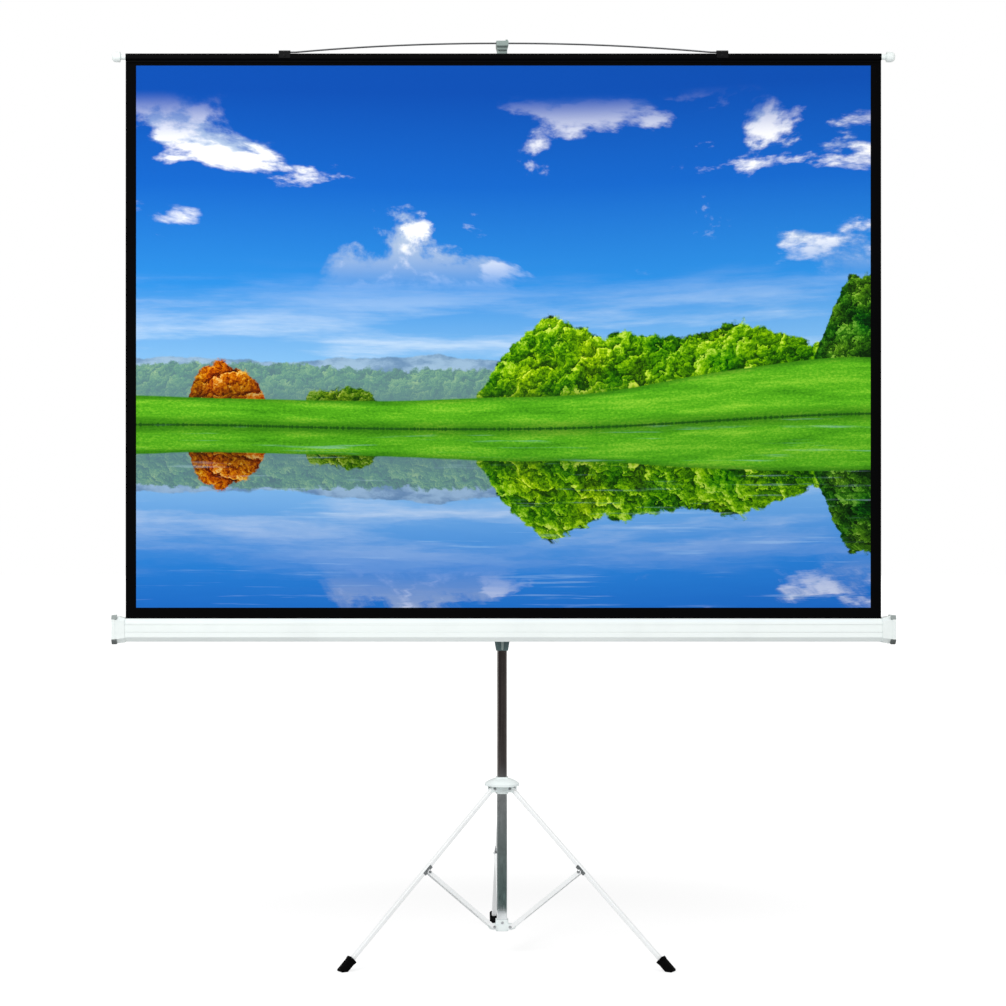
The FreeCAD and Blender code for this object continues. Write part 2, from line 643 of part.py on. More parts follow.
def low_hub_fasteners():
    """The screw that holds the pole in the hub, the brace rivets' shanks, and the stop rivet."""
    front = hub_side * HALF
    screw(
        "lower_hub_screw",
        stand(0, -front, d.hub_screw_height),
        d.hub_wall + d.tube_wall,
        d.screw_radius,
        d.screw_head,
        d.screw_rise,
    )
    shanks = []
    for side, azimuth in LEGS:
        shank = body(f"{side}_shank", stand(d.low_pin_reach, 0, d.low_pin_height, azimuth))
        drawing = disc(sketch(shank, "XZ_Plane"), d.rivet_radius)
        extrude(shank, drawing, lug_width, both=True)
        shanks.append(shank)
    group("lower_rivet_shanks", shanks)
    rear = d.tube_side * HALF
    turned_round = FreeCAD.Rotation(Vector(0, 0, 1), HALF_TURN)
    stop = screw(
        "hub_stop_rivet",
        stand(0, rear, stop_height()),
        d.tube_wall,
        d.rivet_radius,
        d.stop_head,
        d.screw_rise,
    )
    stop.Placement.Rotation = turned_round


def leg_hub():
    """The sliding hub: a sleeve on the pole, a dome over the legs and a clevis for each of them."""
    made = body("sliding_hub", stand())
    top = d.leg_hub_base + d.leg_hub_height
    core = rounded(sketch(made, "XY_Plane", d.leg_hub_base), hub_side, hub_side, d.hub_round)
    extrude(made, core, d.leg_hub_height)
    waist = hub_side * HALF
    shoulder = top - d.dome_wall
    rim_high = d.dome_rim_low + d.dome_rim
    inner = d.dome_radius - d.dome_wall
    dome = [(0, shoulder), (waist, shoulder), (d.dome_radius, rim_high)]
    dome += [(d.dome_radius, d.dome_rim_low), (inner, d.dome_rim_low)]
    dome += [(inner, rim_high - d.dome_wall * HALF), (waist, shoulder - 2 * d.dome_wall)]
    dome += [(0, shoulder - 2 * d.dome_wall)]
    bows = {1: -d.dome_bow, 5: d.dome_bow + d.dome_wall}
    revolve(made, outline(sketch(made, "XZ_Plane"), dome, bows))
    root = d.tube_side * HALF
    under = shoulder - 2 * d.dome_wall
    ear = [(root, d.ear_low), (d.ear_reach, d.ear_low), (d.ear_reach, rim_high - d.dome_wall)]
    ear += [(waist, under + d.dome_wall * HALF), (root, under + d.dome_wall * HALF)]
    cheeks = extrude(made, outline(sketch(made, "YZ_Plane"), ear), clevis_width, both=True)
    room = d.leg_head + d.leg_depth * HALF + d.side_gap
    gap_top = d.leg_pin_height + room - d.side_gap
    gap_low = d.leg_hub_base - d.overrun
    gap = [(waist, gap_low), (d.dome_radius + d.overrun, gap_low)]
    gap += [(d.dome_radius + d.overrun, d.dome_rim_low), (inner, d.dome_rim_low)]
    gap += [(inner, rim_high - d.dome_wall * HALF), (waist, gap_top)]
    slot = extrude(made, outline(sketch(made, "YZ_Plane"), gap), leg_slot, both=True, cut=True)
    hole = disc(
        sketch(made, "YZ_Plane"),
        d.rivet_radius + d.seat_gap,
        d.leg_pin_reach,
        d.leg_pin_height,
    )
    bore = extrude(made, hole, clevis_width + d.overrun, both=True, cut=True)
    spread(made, [cheeks, slot, bore], LEG_COUNT)
    shaft = rounded(
        sketch(made, "XY_Plane", d.leg_hub_base - d.overrun),
        sliding_bore,
        sliding_bore,
        d.tube_round,
    )
    extrude(made, shaft, d.leg_hub_height + 2 * d.overrun, cut=True, back=True)
    rivets = [
        rivet(
            f"{side}_leg_rivet",
            stand(d.leg_pin_reach, 0, d.leg_pin_height, azimuth),
            clevis_width,
            d.rivet_radius,
            d.rivet_head,
            d.rivet_rise,
        )
        for side, azimuth in LEGS
    ]
    group("leg_rivets", rivets)
    return made


def leg(side, azimuth):
    """One leg: its tube, the bracket for the brace, the rubber foot and the brace's upper rivet."""
    place = stand(d.leg_pin_reach, 0, d.leg_pin_height, azimuth, -float(d.leg_angle))
    tube = body(f"{side}_leg_tube", place)
    section = rounded(
        sketch(tube, "XY_Plane", d.leg_head), d.leg_depth, d.leg_width, d.leg_round
    )
    inner = 2 * d.leg_wall
    rounded(section, d.leg_depth - inner, d.leg_width - inner, d.leg_round - d.leg_wall)
    extrude(tube, section, d.leg_head + d.leg_length, back=True)
    pivot = disc(sketch(tube, "XZ_Plane"), d.rivet_radius + d.pin_gap)
    extrude(tube, pivot, d.leg_width + d.overrun, both=True, cut=True)

    bracket = body(f"{side}_brace_bracket", place)
    inside = d.leg_depth * HALF + d.seat_gap
    bottom = inside + d.bracket_wall
    wide, narrow = lug_width * HALF, lug_width * HALF - d.bracket_wall + d.seat_gap
    saddle = [(-bottom, -wide), (d.bracket_lip, -wide), (d.bracket_lip, -narrow)]
    saddle += [(-inside, -narrow), (-inside, narrow), (d.bracket_lip, narrow)]
    saddle += [(d.bracket_lip, wide), (-bottom, wide)]
    base = sketch(bracket, "XY_Plane", -(d.brace_station - d.bracket_length * HALF))
    extrude(bracket, outline(base, saddle), d.bracket_length, back=True)
    ear = disc(sketch(bracket, "XZ_Plane"), d.bracket_ear, -d.brace_drop, -d.brace_station)
    extrude(bracket, ear, lug_width, both=True)
    window = disc(
        sketch(bracket, "XZ_Plane"),
        d.bracket_ear + d.seat_gap,
        -d.brace_drop,
        -d.brace_station,
    )
    extrude(bracket, window, 2 * narrow, both=True, cut=True)
    eye = disc(
        sketch(bracket, "XZ_Plane"),
        d.rivet_radius + d.seat_gap,
        -d.brace_drop,
        -d.brace_station,
    )
    extrude(bracket, eye, lug_width + d.overrun, both=True, cut=True)

    boot = body(f"{side}_foot", place)
    block = rounded(
        sketch(boot, "XY_Plane", -d.boot_start), d.boot_depth, d.boot_width, d.boot_round
    )
    extrude(boot, block, d.toe_along - d.boot_start, back=True)
    proud = 2 * d.boot_collar_wall
    collar = rounded(
        sketch(boot, "XY_Plane", -d.boot_start),
        d.boot_depth + proud,
        d.boot_width + proud,
        d.boot_round + d.boot_collar_wall,
    )
    extrude(boot, collar, d.boot_collar, back=True)
    mouth = rounded(
        sketch(boot, "XY_Plane", -d.boot_start),
        d.leg_depth + 2 * d.seat_gap,
        d.leg_width + 2 * d.seat_gap,
        d.leg_round,
    )
    extrude(boot, mouth, d.leg_length + d.seat_gap - d.boot_start, cut=True)
    deep = d.toe_along + d.overrun
    floor = [(-d.boot_depth, -d.sole_near), (-d.boot_depth, -deep)]
    floor += [(d.boot_depth, -deep), (d.boot_depth, -d.toe_side)]
    floor += [(d.toe_across, -d.toe_along)]
    under = outline(sketch(boot, "XZ_Plane"), floor)
    extrude(boot, under, 2 * d.boot_width, both=True, cut=True)
    soften(boot, d.toe_round, lambda edge: runs_along(edge, Vector(0, 1, 0)) and (
        abs(edge.Vertexes[0].Point.x - float(d.toe_across)) < TINY
    ))

    pin_place = stand(d.brace_pin_reach, 0, d.brace_pin_height, azimuth)
    rivet(
        f"{side}_brace_rivet",
        pin_place,
        brace_width + 2 * d.seat_gap,
        d.rivet_radius,
        d.rivet_head,
        d.rivet_rise,
    )


def brace(side, azimuth):
    """One brace: a channel open toward its leg, with the heads of its lower rivet."""
    angle = float(d.brace_angle)
    place = stand(d.brace_pin_reach, 0, d.brace_pin_height, azimuth, -angle)
    made = body(f"{side}_brace", place)
    wide = brace_width * HALF
    narrow = wide - d.brace_wall
    web = d.brace_back - d.brace_wall
    channel = [(-d.brace_back, -wide), (d.brace_lip, -wide), (d.brace_lip, -narrow)]
    channel += [(-web, -narrow), (-web, narrow), (d.brace_lip, narrow)]
    channel += [(d.brace_lip, wide), (-d.brace_back, wide)]
    profile = outline(sketch(made, "XY_Plane", d.brace_end), channel)
    extrude(made, profile, d.brace_length + 2 * d.brace_end, back=True)
    soften(made, d.brace_corner, lambda edge: runs_along(edge, Vector(0, 1, 0)) and (
        edge.Length < float(2 * d.brace_wall)
    ))
    past = d.brace_back + d.overrun
    over = d.brace_end + d.overrun
    cuts = sketch(made, "XZ_Plane")
    outline(cuts, [(-past, -d.top_cut), (0, -d.top_cut), (0, over), (-past, over)])
    start, end = d.low_cut - d.brace_length, -(d.brace_length + over)
    outline(cuts, [(-past, end), (0, end), (0, start), (-past, start)])
    extrude(made, cuts, 2 * narrow, both=True, cut=True)
    holes = sketch(made, "XZ_Plane")
    disc(holes, d.rivet_radius + d.pin_gap)
    disc(holes, d.rivet_radius + d.seat_gap, 0, -d.brace_length)
    extrude(made, holes, brace_width + d.overrun, both=True, cut=True)

    heads = []
    for name, facing in (("front", 1), ("back", -1)):
        head = body(f"{side}_{name}_head", place)
        inner, outer = narrow * facing, (wide + d.seat_gap) * facing
        tip = outer + d.rivet_rise * facing
        half_tip = outer + d.rivet_rise * (HALF * facing)
        cap = [(0, inner), (d.rivet_radius, inner), (d.rivet_radius, outer)]
        cap += [(d.rivet_head, outer), (d.rivet_head, half_tip)]
        cap += [(d.rivet_head * HALF, tip), (0, tip)]
        drawing = outline(sketch(head, "XY_Plane", -d.brace_length), cap)
        revolve(head, drawing)
        heads.append(head)
    group(f"{side}_brace_rivet_heads", heads)


def carrier():
    """The moulded sleeve that carries the case, with its swivel boss and clamp boss."""
    made = body("carrier_sleeve", stand())
    tip = rounded(
        sketch(made, "XY_Plane", d.carrier_base), d.carrier_tip, d.carrier_tip, d.tube_round
    )
    full = rounded(
        sketch(made, "XY_Plane", d.carrier_shoulder),
        d.carrier_width,
        d.carrier_depth,
        d.carrier_round,
    )
    funnel = made.newObject("PartDesign::AdditiveLoft", "funnel")
    funnel.Profile = tip
    funnel.Sections = [full]
    funnel.Ruled = True
    upper = rounded(
        sketch(made, "XY_Plane", d.carrier_shoulder),
        d.carrier_width,
        d.carrier_depth,
        d.carrier_round,
    )
    extrude(made, upper, d.carrier_top - d.carrier_shoulder)
    boss = disc(sketch(made, "XZ_Plane"), d.boss_radius, 0, d.case_height_mid)
    extrude(made, boss, boss_face)
    clamp = disc(sketch(made, "XZ_Plane"), d.knob_boss, 0, d.carrier_knob_height)
    rear = d.carrier_depth * HALF
    extrude(made, clamp, rear + d.knob_boss_length, back=True)
    height = d.carrier_top - d.carrier_base + 2 * d.overrun
    bore = rounded(
        sketch(made, "XY_Plane", d.carrier_base - d.overrun),
        sliding_bore,
        sliding_bore,
        d.tube_round,
    )
    extrude(made, bore, height, cut=True, back=True)
    stud = disc(
        sketch(made, "XZ_Plane"), d.stud_radius + d.pin_gap, 0, d.carrier_knob_height
    )
    extrude(made, stud, rear + d.knob_boss_length + d.overrun, cut=True)
    bolt = disc(sketch(made, "XZ_Plane"), d.bolt_radius + d.seat_gap, 0, d.case_height_mid)
    extrude(made, bolt, boss_face + d.overrun, cut=True, back=True)

    head_low = d.case_offset - case_back - d.plate_rise + d.plate_sheet
    swivel = body("swivel_bolt", stand(0, -head_low - d.face_gap, d.case_height_mid))
    reach = head_low + d.face_gap - boss_face + d.bolt_grip
    side = [(0, -d.bolt_rise * HALF), (d.bolt_head * HALF, -d.bolt_rise * HALF)]
    side += [(d.bolt_head, 0), (d.bolt_radius, 0), (d.bolt_radius, reach), (0, reach)]
    revolve(swivel, outline(sketch(swivel, "XY_Plane"), side))

    washer = body("swivel_washer", stand(0, -boss_face, d.case_height_mid))
    ring = disc(sketch(washer, "XZ_Plane"), d.washer_radius)
    disc(ring, d.bolt_radius + d.seat_gap)
    extrude(washer, ring, d.washer_thickness)


def clamp_knob(label, height, boss_end, tip_end):
    """A scalloped knob behind the pole and the clamp screw that it turns."""
    start = boss_end + d.knob_standoff
    made = body(label, stand(0, start, height))
    made.Placement.Rotation = FreeCAD.Rotation(Vector(1, 0, 0), -RIGHT_ANGLE)
    grip_low = d.knob_neck_length
    grip_high = grip_low + d.knob_length
    side = [(0, 0), (d.knob_neck, 0), (d.knob_neck, grip_low), (d.knob_radius, grip_low)]
    side += [(d.knob_radius, grip_high - d.knob_crown)]
    side += [(d.knob_radius - d.knob_crown, grip_high), (0, grip_high)]
    revolve(made, outline(sketch(made, "XZ_Plane"), side))
    hollow = disc(
        sketch(made, "XY_Plane", grip_low - d.overrun),
        d.knob_scallop,
        d.knob_radius + d.knob_scallop * HALF,
    )
    notch = extrude(made, hollow, d.knob_length + 2 * d.overrun, cut=True, back=True)
    spread(made, [notch], SCALLOPS)
    drilled = disc(sketch(made, "XY_Plane"), d.stud_radius + d.seat_gap)
    extrude(made, drilled, grip_low, cut=True, back=True)

    stud = body(f"{label}_stud", stand(0, 0, height))
    rod = disc(sketch(stud, "XZ_Plane", -(start + grip_low)), d.stud_radius)
    extrude(stud, rod, start + grip_low - tip_end)


def mast():
    """The sliding mast with its moulded hook, which is open at the top for the bail."""
    tube = body("mast_tube", stand())
    low = d.tube_top - d.mast_overlap
    section = tube_sketch(sketch(tube, "XY_Plane", low), mast_side, mast_round, d.mast_wall)
    extrude(tube, section, d.mast_top - low)
    screw_height = d.mast_top - d.cap_screw_drop
    rear = disc(sketch(tube, "XZ_Plane"), d.screw_radius + d.seat_gap, 0, screw_height)
    extrude(tube, rear, mast_side, cut=True)

    cap = body("hook_cap", stand())
    skirt = rounded(
        sketch(cap, "XY_Plane", d.cap_base), d.skirt_width, d.skirt_width, mast_round + d.mast_wall
    )
    extrude(cap, skirt, d.skirt_height)
    shelf = d.cap_base + d.skirt_height
    face = d.hook_reach - d.wire_radius - d.hook_gap
    lip_in = d.hook_reach + d.wire_radius + d.hook_gap
    lip_out = lip_in + d.hook_lip
    trough = d.hook_height - d.wire_radius - d.hook_gap
    lip_top = d.hook_height + d.hook_lip_rise
    side = [(d.cap_back, shelf), (d.cap_back, d.cap_top), (-face, d.cap_top)]
    seat = d.hook_height - d.hook_gap
    side += [(-face, seat), (-lip_in, seat), (-lip_in, lip_top)]
    side += [(-lip_out, lip_top), (-lip_out, trough - d.hook_floor * HALF)]
    side += [(-face, trough - d.hook_floor), (-face, shelf)]
    bows = {3: -(d.wire_radius + d.hook_gap + d.seat_gap)}
    extrude(cap, outline(sketch(cap, "YZ_Plane"), side, bows), d.cap_width, both=True)
    wide, slim = d.cap_width * HALF, d.skirt_width * HALF
    narrow_from = d.hook_height - d.cap_taper
    sides = sketch(cap, "XZ_Plane")
    for facing in (-1, 1):
        outer = (wide + d.overrun) * facing
        wedge = [(wide * facing, narrow_from), (slim * facing, shelf), (outer, shelf)]
        outline(sides, wedge)
    extrude(cap, sides, d.overrun + 2 * lip_out, both=True, cut=True)
    horn_y = d.cap_back - d.horn_depth
    for facing, rise in ((-1, d.horn_left_rise), (1, d.horn_right_rise)):
        outer = d.cap_width * (HALF * facing)
        inner = outer - d.horn_width * facing
        post = [(outer, horn_y), (outer, d.cap_back), (inner, d.cap_back), (inner, horn_y)]
        extrude(cap, outline(sketch(cap, "XY_Plane", d.cap_top), post), rise)
    mouth = mast_side + 2 * d.seat_gap
    socket = rounded(sketch(cap, "XY_Plane", d.cap_base), mouth, mouth, mast_round)
    extrude(cap, socket, d.mast_top + d.seat_gap - d.cap_base, cut=True, back=True)
    rear = disc(sketch(cap, "XZ_Plane"), d.screw_radius + d.seat_gap, 0, screw_height)
    extrude(cap, rear, 2 * d.cap_back, cut=True)
    fixing = screw(
        "hook_cap_screw",
        stand(0, d.cap_back, screw_height),
        d.cap_back - mast_side * HALF + d.mast_wall,
        d.screw_radius,
        d.screw_head,
        d.screw_rise,
    )
    fixing.Placement.Rotation = FreeCAD.Rotation(Vector(0, 0, 1), HALF_TURN)


def collar():
    """The moulded collar that guides the mast at the top of the pole."""
    made = body("mast_collar", stand())
    base = d.tube_top + d.collar_lip - d.collar_height
    block = rounded(sketch(made, "XY_Plane", base), d.collar_side, d.collar_side, d.collar_round)
    extrude(made, block, d.collar_height)
    boss = disc(sketch(made, "XZ_Plane"), d.knob_boss, 0, collar_knob_height)
    rear = d.collar_side * HALF
    extrude(made, boss, rear + d.knob_boss_length, back=True)
    seat = d.tube_side + 2 * d.seat_gap
    lower = rounded(sketch(made, "XY_Plane", base - d.overrun), seat, seat, d.tube_round)
    depth = d.collar_height - d.collar_lip + d.overrun + d.seat_gap
    extrude(made, lower, depth, cut=True, back=True)
    guide = mast_side + 2 * d.slide_gap
    upper = rounded(sketch(made, "XY_Plane", base), guide, guide, mast_round)
    extrude(made, upper, d.collar_height + d.overrun, cut=True, back=True)
    stud = disc(sketch(made, "XZ_Plane"), d.stud_radius + d.pin_gap, 0, collar_knob_height)
    extrude(made, stud, rear + d.knob_boss_length + d.overrun, cut=True)
    soften(made, d.hub_wall * HALF, lambda edge: lies_at(edge, base + d.collar_height) and (
        edge.BoundBox.DiagonalLength > 0
        and max(abs(v.Point.x) + abs(v.Point.y) for v in edge.Vertexes) > float(d.tube_side)
    ))


def case_outline(sideways, up, down):
    """The case's eight-sided section, grown by these amounts at its sides, top and bottom."""
    half = case_back + sideways
    top, low = d.case_height * HALF + up, -(d.case_height * HALF + down)
    high_cut, low_cut = d.top_bevel, d.low_bevel
    return [
        (half, top - high_cut),
        (half - high_cut, top),
        (high_cut - half, top),
        (-half, top - high_cut),
        (-half, low + low_cut),
        (low_cut - half, low),
        (half - low_cut, low),
        (half, low + low_cut),
    ]


def shell():
    """The extruded case: an eight-sided section with lips turned down beside its slot."""
    place = stand(0, -d.case_offset, d.case_height_mid)
    made = body("case_shell", place)
    half, top = case_back, d.case_height * HALF
    wall = d.case_wall
    step = wall * bevel_step
    right, left = fabric_place + d.slot_half, fabric_place - d.slot_half
    points = [(right, top), (half - d.top_bevel, top), (half, top - d.top_bevel)]
    points += [(half, d.low_bevel - top), (half - d.low_bevel, -top)]
    points += [(d.low_bevel - half, -top), (-half, d.low_bevel - top)]
    points += [(-half, top - d.top_bevel), (d.top_bevel - half, top), (left, top)]
    points += [(left, top - d.slot_lip), (left - wall, top - d.slot_lip), (left - wall, top - wall)]
    points += [(d.top_bevel - half + step, top - wall), (wall - half, top - d.top_bevel - step)]
    points += [(wall - half, d.low_bevel - top + step), (d.low_bevel - half + step, wall - top)]
    points += [(half - d.low_bevel - step, wall - top), (half - wall, d.low_bevel - top + step)]
    points += [(half - wall, top - d.top_bevel - step), (half - d.top_bevel - step, top - wall)]
    points += [(right + wall, top - wall), (right + wall, top - d.slot_lip)]
    points += [(right, top - d.slot_lip)]
    section = outline(sketch(made, "YZ_Plane"), points)
    extrude(made, section, 2 * shell_half, both=True)
    corners = [points[i] for i in (1, 2, 3, 4, 5, 6, 7, 8)]
    soften(made, d.case_soft, lambda edge: runs_along(edge, Vector(1, 0, 0)) and any(
        abs(edge.Vertexes[0].Point.y - float(y)) < TINY
        and abs(edge.Vertexes[0].Point.z - float(z)) < TINY
        for y, z in corners
    ))
    lines = sketch(made, "YZ_Plane")
    for height in (d.groove_high, d.groove_low):
        low, high = height - d.groove_half, height + d.groove_half
        front, deep = -(half + d.overrun), d.groove_depth - half
        outline(lines, [(front, low), (deep, low), (deep, high), (front, high)])
    extrude(made, lines, 2 * shell_half + d.overrun, both=True, cut=True)
    rear = sketch(made, "XZ_Plane")
    hole = d.rivet_radius + d.seat_gap
    for x, z in plate_rivet_places():
        disc(rear, hole, x, z)
    for facing in (-1, 1):
        disc(rear, hole, cap_rivet_place() * facing)
    extrude(made, rear, half + d.overrun, cut=True)
    below = sketch(made, "XY_Plane")
    for facing in (-1, 1):
        disc(below, hole, cap_rivet_place() * facing)
    extrude(made, below, top + d.overrun, cut=True)
    return made


def plate_rivet_places():
    """Where the swivel plate is riveted to the case."""
    return [
        (d.plate_rivet_x * right, d.plate_rivet_z * up) for right in (-1, 1) for up in (-1, 1)
    ]


def cap_rivet_place():
    """How far from the middle the end caps are riveted."""
    return half_case - d.cap_plate - d.cap_rivet_inset


def end_cap(label, facing):
    """One moulded end of the case: a plate, a tapered collar, a bearing and a cradle for the slat."""
    made = body(label, stand(0, -d.case_offset, d.case_height_mid))
    inner_face = half_case - d.cap_plate
    inward = facing > 0
    plate = outline(
        sketch(made, "YZ_Plane", half_case * facing),
        case_outline(d.cap_side, d.cap_rise, d.cap_fall),
    )
    extrude(made, plate, d.cap_plate, back=inward)
    soften(made, d.cap_soft, lambda edge: all(
        abs(abs(v.Point.x) - float(half_case)) < TINY for v in edge.Vertexes
    ))
    wide = outline(
        sketch(made, "YZ_Plane", inner_face * facing),
        case_outline(d.cap_side - d.cap_wall * HALF, d.cap_fall, d.cap_fall - d.cap_wall * HALF),
    )
    slim = outline(
        sketch(made, "YZ_Plane", collar_start * facing),
        case_outline(d.cap_wall, d.cap_wall, d.cap_wall),
    )
    taper = made.newObject("PartDesign::AdditiveLoft", "taper")
    taper.Profile = wide
    taper.Sections = [slim]
    taper.Ruled = True
    room = outline(
        sketch(made, "YZ_Plane", (collar_start - d.overrun) * facing),
        case_outline(d.seat_gap, d.seat_gap, d.seat_gap),
    )
    depth = inner_face - collar_start + d.overrun
    extrude(made, room, depth, cut=True, back=inward)
    bearing = disc(
        sketch(made, "YZ_Plane", inner_face * facing), d.bearing_boss, d.roller_offset
    )
    extrude(made, bearing, d.bearing_length, back=inward)
    shaft = d.shaft_radius + d.seat_gap if inward else d.journal_radius + d.pin_gap
    hole = disc(
        sketch(made, "YZ_Plane", (inner_face - d.bearing_length - d.overrun) * facing),
        shaft,
        d.roller_offset,
    )
    extrude(made, hole, d.bearing_length + 2 * d.overrun, cut=True, back=inward)
    closed = slat_travel_place()
    cradle = disc(
        sketch(made, "YZ_Plane", (half_case + d.overrun) * facing),
        d.slat_knob + d.cradle_gap,
        fabric_place,
        closed,
    )
    length = d.slat_knob_length + d.cradle_gap + d.overrun
    extrude(made, cradle, length, cut=True, back=not inward)
    place, hole = cap_rivet_place() * facing, d.rivet_radius + d.seat_gap
    for role, face in (("XZ_Plane", case_back), ("XY_Plane", d.case_height * HALF)):
        drilled = disc(sketch(made, role, d.overrun - face), hole, place)
        extrude(made, drilled, 2 * d.overrun + d.cap_side, cut=True)
        spot = disc(sketch(made, role, -face - d.cap_wall), d.rivet_head + d.seat_gap, place)
        extrude(made, spot, d.cap_side + d.overrun, cut=True)
    return made


def slat_travel_place():
    """Height of the slat's middle above the case's middle when the screen is down."""
    return d.slat_mid - slat_travel - d.case_height_mid


def case_fasteners():
    """The rivets of the end caps and of the swivel plate."""
    skin = d.cap_wall + d.case_wall
    rear_seat = case_back + d.cap_wall - d.case_offset
    low_seat = d.case_height_mid - d.case_height * HALF - d.cap_wall
    rivets = []
    for name, facing in (("left", -1), ("right", 1)):
        x = cap_rivet_place() * facing
        for side, y, z, axis, turn in (
            ("rear", rear_seat, d.case_height_mid, Vector(0, 0, 1), HALF_TURN),
            ("under", -d.case_offset, low_seat, Vector(1, 0, 0), RIGHT_ANGLE),
        ):
            made = screw(
                f"{name}_{side}_rivet",
                stand(x, y, z),
                skin,
                d.rivet_radius,
                d.rivet_head,
                d.rivet_rise,
            )
            made.Placement.Rotation = FreeCAD.Rotation(axis, turn)
            rivets.append(made)
    group("end_cap_rivets", rivets)
    rear = d.plate_sheet + d.case_wall
    members = []
    for number, (x, z) in enumerate(plate_rivet_places()):
        made = screw(
            f"plate_rivet_{number}",
            stand(x, -d.case_offset + case_back + d.plate_sheet, d.case_height_mid + z),
            rear,
            d.rivet_radius,
            d.rivet_head,
            d.rivet_rise,
        )
        made.Placement.Rotation = FreeCAD.Rotation(Vector(0, 0, 1), HALF_TURN)
        members.append(made)
    group("swivel_plate_rivets", members)


def swivel_plate():
    """The pressed plate on the case's back, raised in the middle over the bolt's head."""
    made = body("swivel_plate", stand(0, -d.case_offset, d.case_height_mid))
    edge, pan = d.plate_width * HALF, d.plate_pan
    foot = pan + d.plate_slope
    back = case_back
    sheet_top, high = back + d.plate_sheet, back + d.plate_rise
    bend = d.plate_sheet * HALF
    hat = [(-edge, back), (-foot, back), (-pan, high - d.plate_sheet)]
    hat += [(pan, high - d.plate_sheet), (foot, back), (edge, back), (edge, sheet_top)]
    hat += [(foot + bend, sheet_top), (pan + bend, high), (-pan - bend, high)]
    hat += [(-foot - bend, sheet_top), (-edge, sheet_top)]
    profile = outline(sketch(made, "XY_Plane"), hat)
    extrude(made, profile, d.plate_height, both=True)
    holes = sketch(made, "XZ_Plane")
    disc(holes, d.bolt_radius + d.pin_gap)
    for x, z in plate_rivet_places():
        disc(holes, d.rivet_radius + d.seat_gap, x, z)
    extrude(made, holes, d.case_depth, cut=True)


def along_roller(label, sections):
    """A piece turned about the roller's axis, from rings of (start, end, outer, inner radius)."""
    made = body(label, stand(0, d.roller_offset - d.case_offset, d.case_height_mid))
    for start, end, outer, inner in sections:
        ring = disc(sketch(made, "YZ_Plane", start), outer)
        if inner is not None:
            disc(ring, inner)
        extrude(made, ring, end - start)
    return made


def roller():
    """The spring roller: tube, wound fabric, plugs, fixed shaft and torsion spring."""
    snug = tube_inner - d.seat_gap
    along_roller("roller_tube", [(-roller_half, roller_half, d.roller_radius, tube_inner)])
    wrap = d.roller_radius + d.wrap
    along_roller(
        "wound_fabric", [(-half_fabric, half_fabric, wrap, d.roller_radius + d.seat_gap)]
    )
    plug_in = roller_half - d.plug_length
    flange = roller_half + d.plug_flange
    journal_end = half_case - d.cap_plate - d.seat_gap
    along_roller(
        "idle_plug",
        [
            (-journal_end, -flange, d.journal_radius, None),
            (-flange, -roller_half, d.roller_radius, None),
            (-roller_half, -plug_in, snug, None),
        ],
    )
    around = d.shaft_radius + d.side_gap
    along_roller(
        "spring_plug",
        [(plug_in, roller_half, snug, around), (roller_half, flange, d.roller_radius, around)],
    )
    shaft_end = journal_end
    shaft_start = shaft_end - d.shaft_length
    anchor = shaft_start + d.anchor_length
    start = anchor + 2 * d.anchor_length
    seat_end = start + d.spring_length + d.seat_length * HALF
    grip = d.spring_radius - d.spring_wire - d.seat_gap
    along_roller(
        "spring_shaft",
        [
            (shaft_start, shaft_end, d.shaft_radius, None),
            (seat_end - d.seat_length, seat_end, grip, None),
        ],
    )
    along_roller("spring_anchor", [(anchor, anchor + d.anchor_length, snug, around)])
    coil = doc.addObject("Part::Feature", "torsion_spring")
    coil.Label = "torsion_spring"
    coil.Shape = spring_shape()
    coil.Placement = stand(start, d.roller_offset - d.case_offset, d.case_height_mid, 0, RIGHT_ANGLE)


def spring_shape():
    """An even helix of round wire along +Z, one pipe from end to end."""
    turns, length = float(d.spring_turns), float(d.spring_length)
    radius, wire = float(d.spring_radius), float(d.spring_wire)
    helix = Part.makeHelix(length / turns, length, radius)
    across = Vector(0, radius, length / turns / math.tau)
    start = Part.Wire([Part.Circle(Vector(radius, 0, 0), across, wire).toShape()])
    return helix.makePipeShell([start], True, True)


def fabric():
    """The sheet from the roller's tangent up to the slat."""
    made = doc.addObject("Part::Box", "screen_fabric")
    made.Label = "screen_fabric"
    made.setExpression("Length", d.fabric_width.text)
    made.setExpression("Width", d.fabric_sheet.text)
    height = slat_low - d.seat_gap - d.case_height_mid
    made.setExpression("Height", height.text)
    front = -d.fabric_offset - d.fabric_sheet * HALF
    made.Placement = stand(-half_fabric, front, d.case_height_mid)


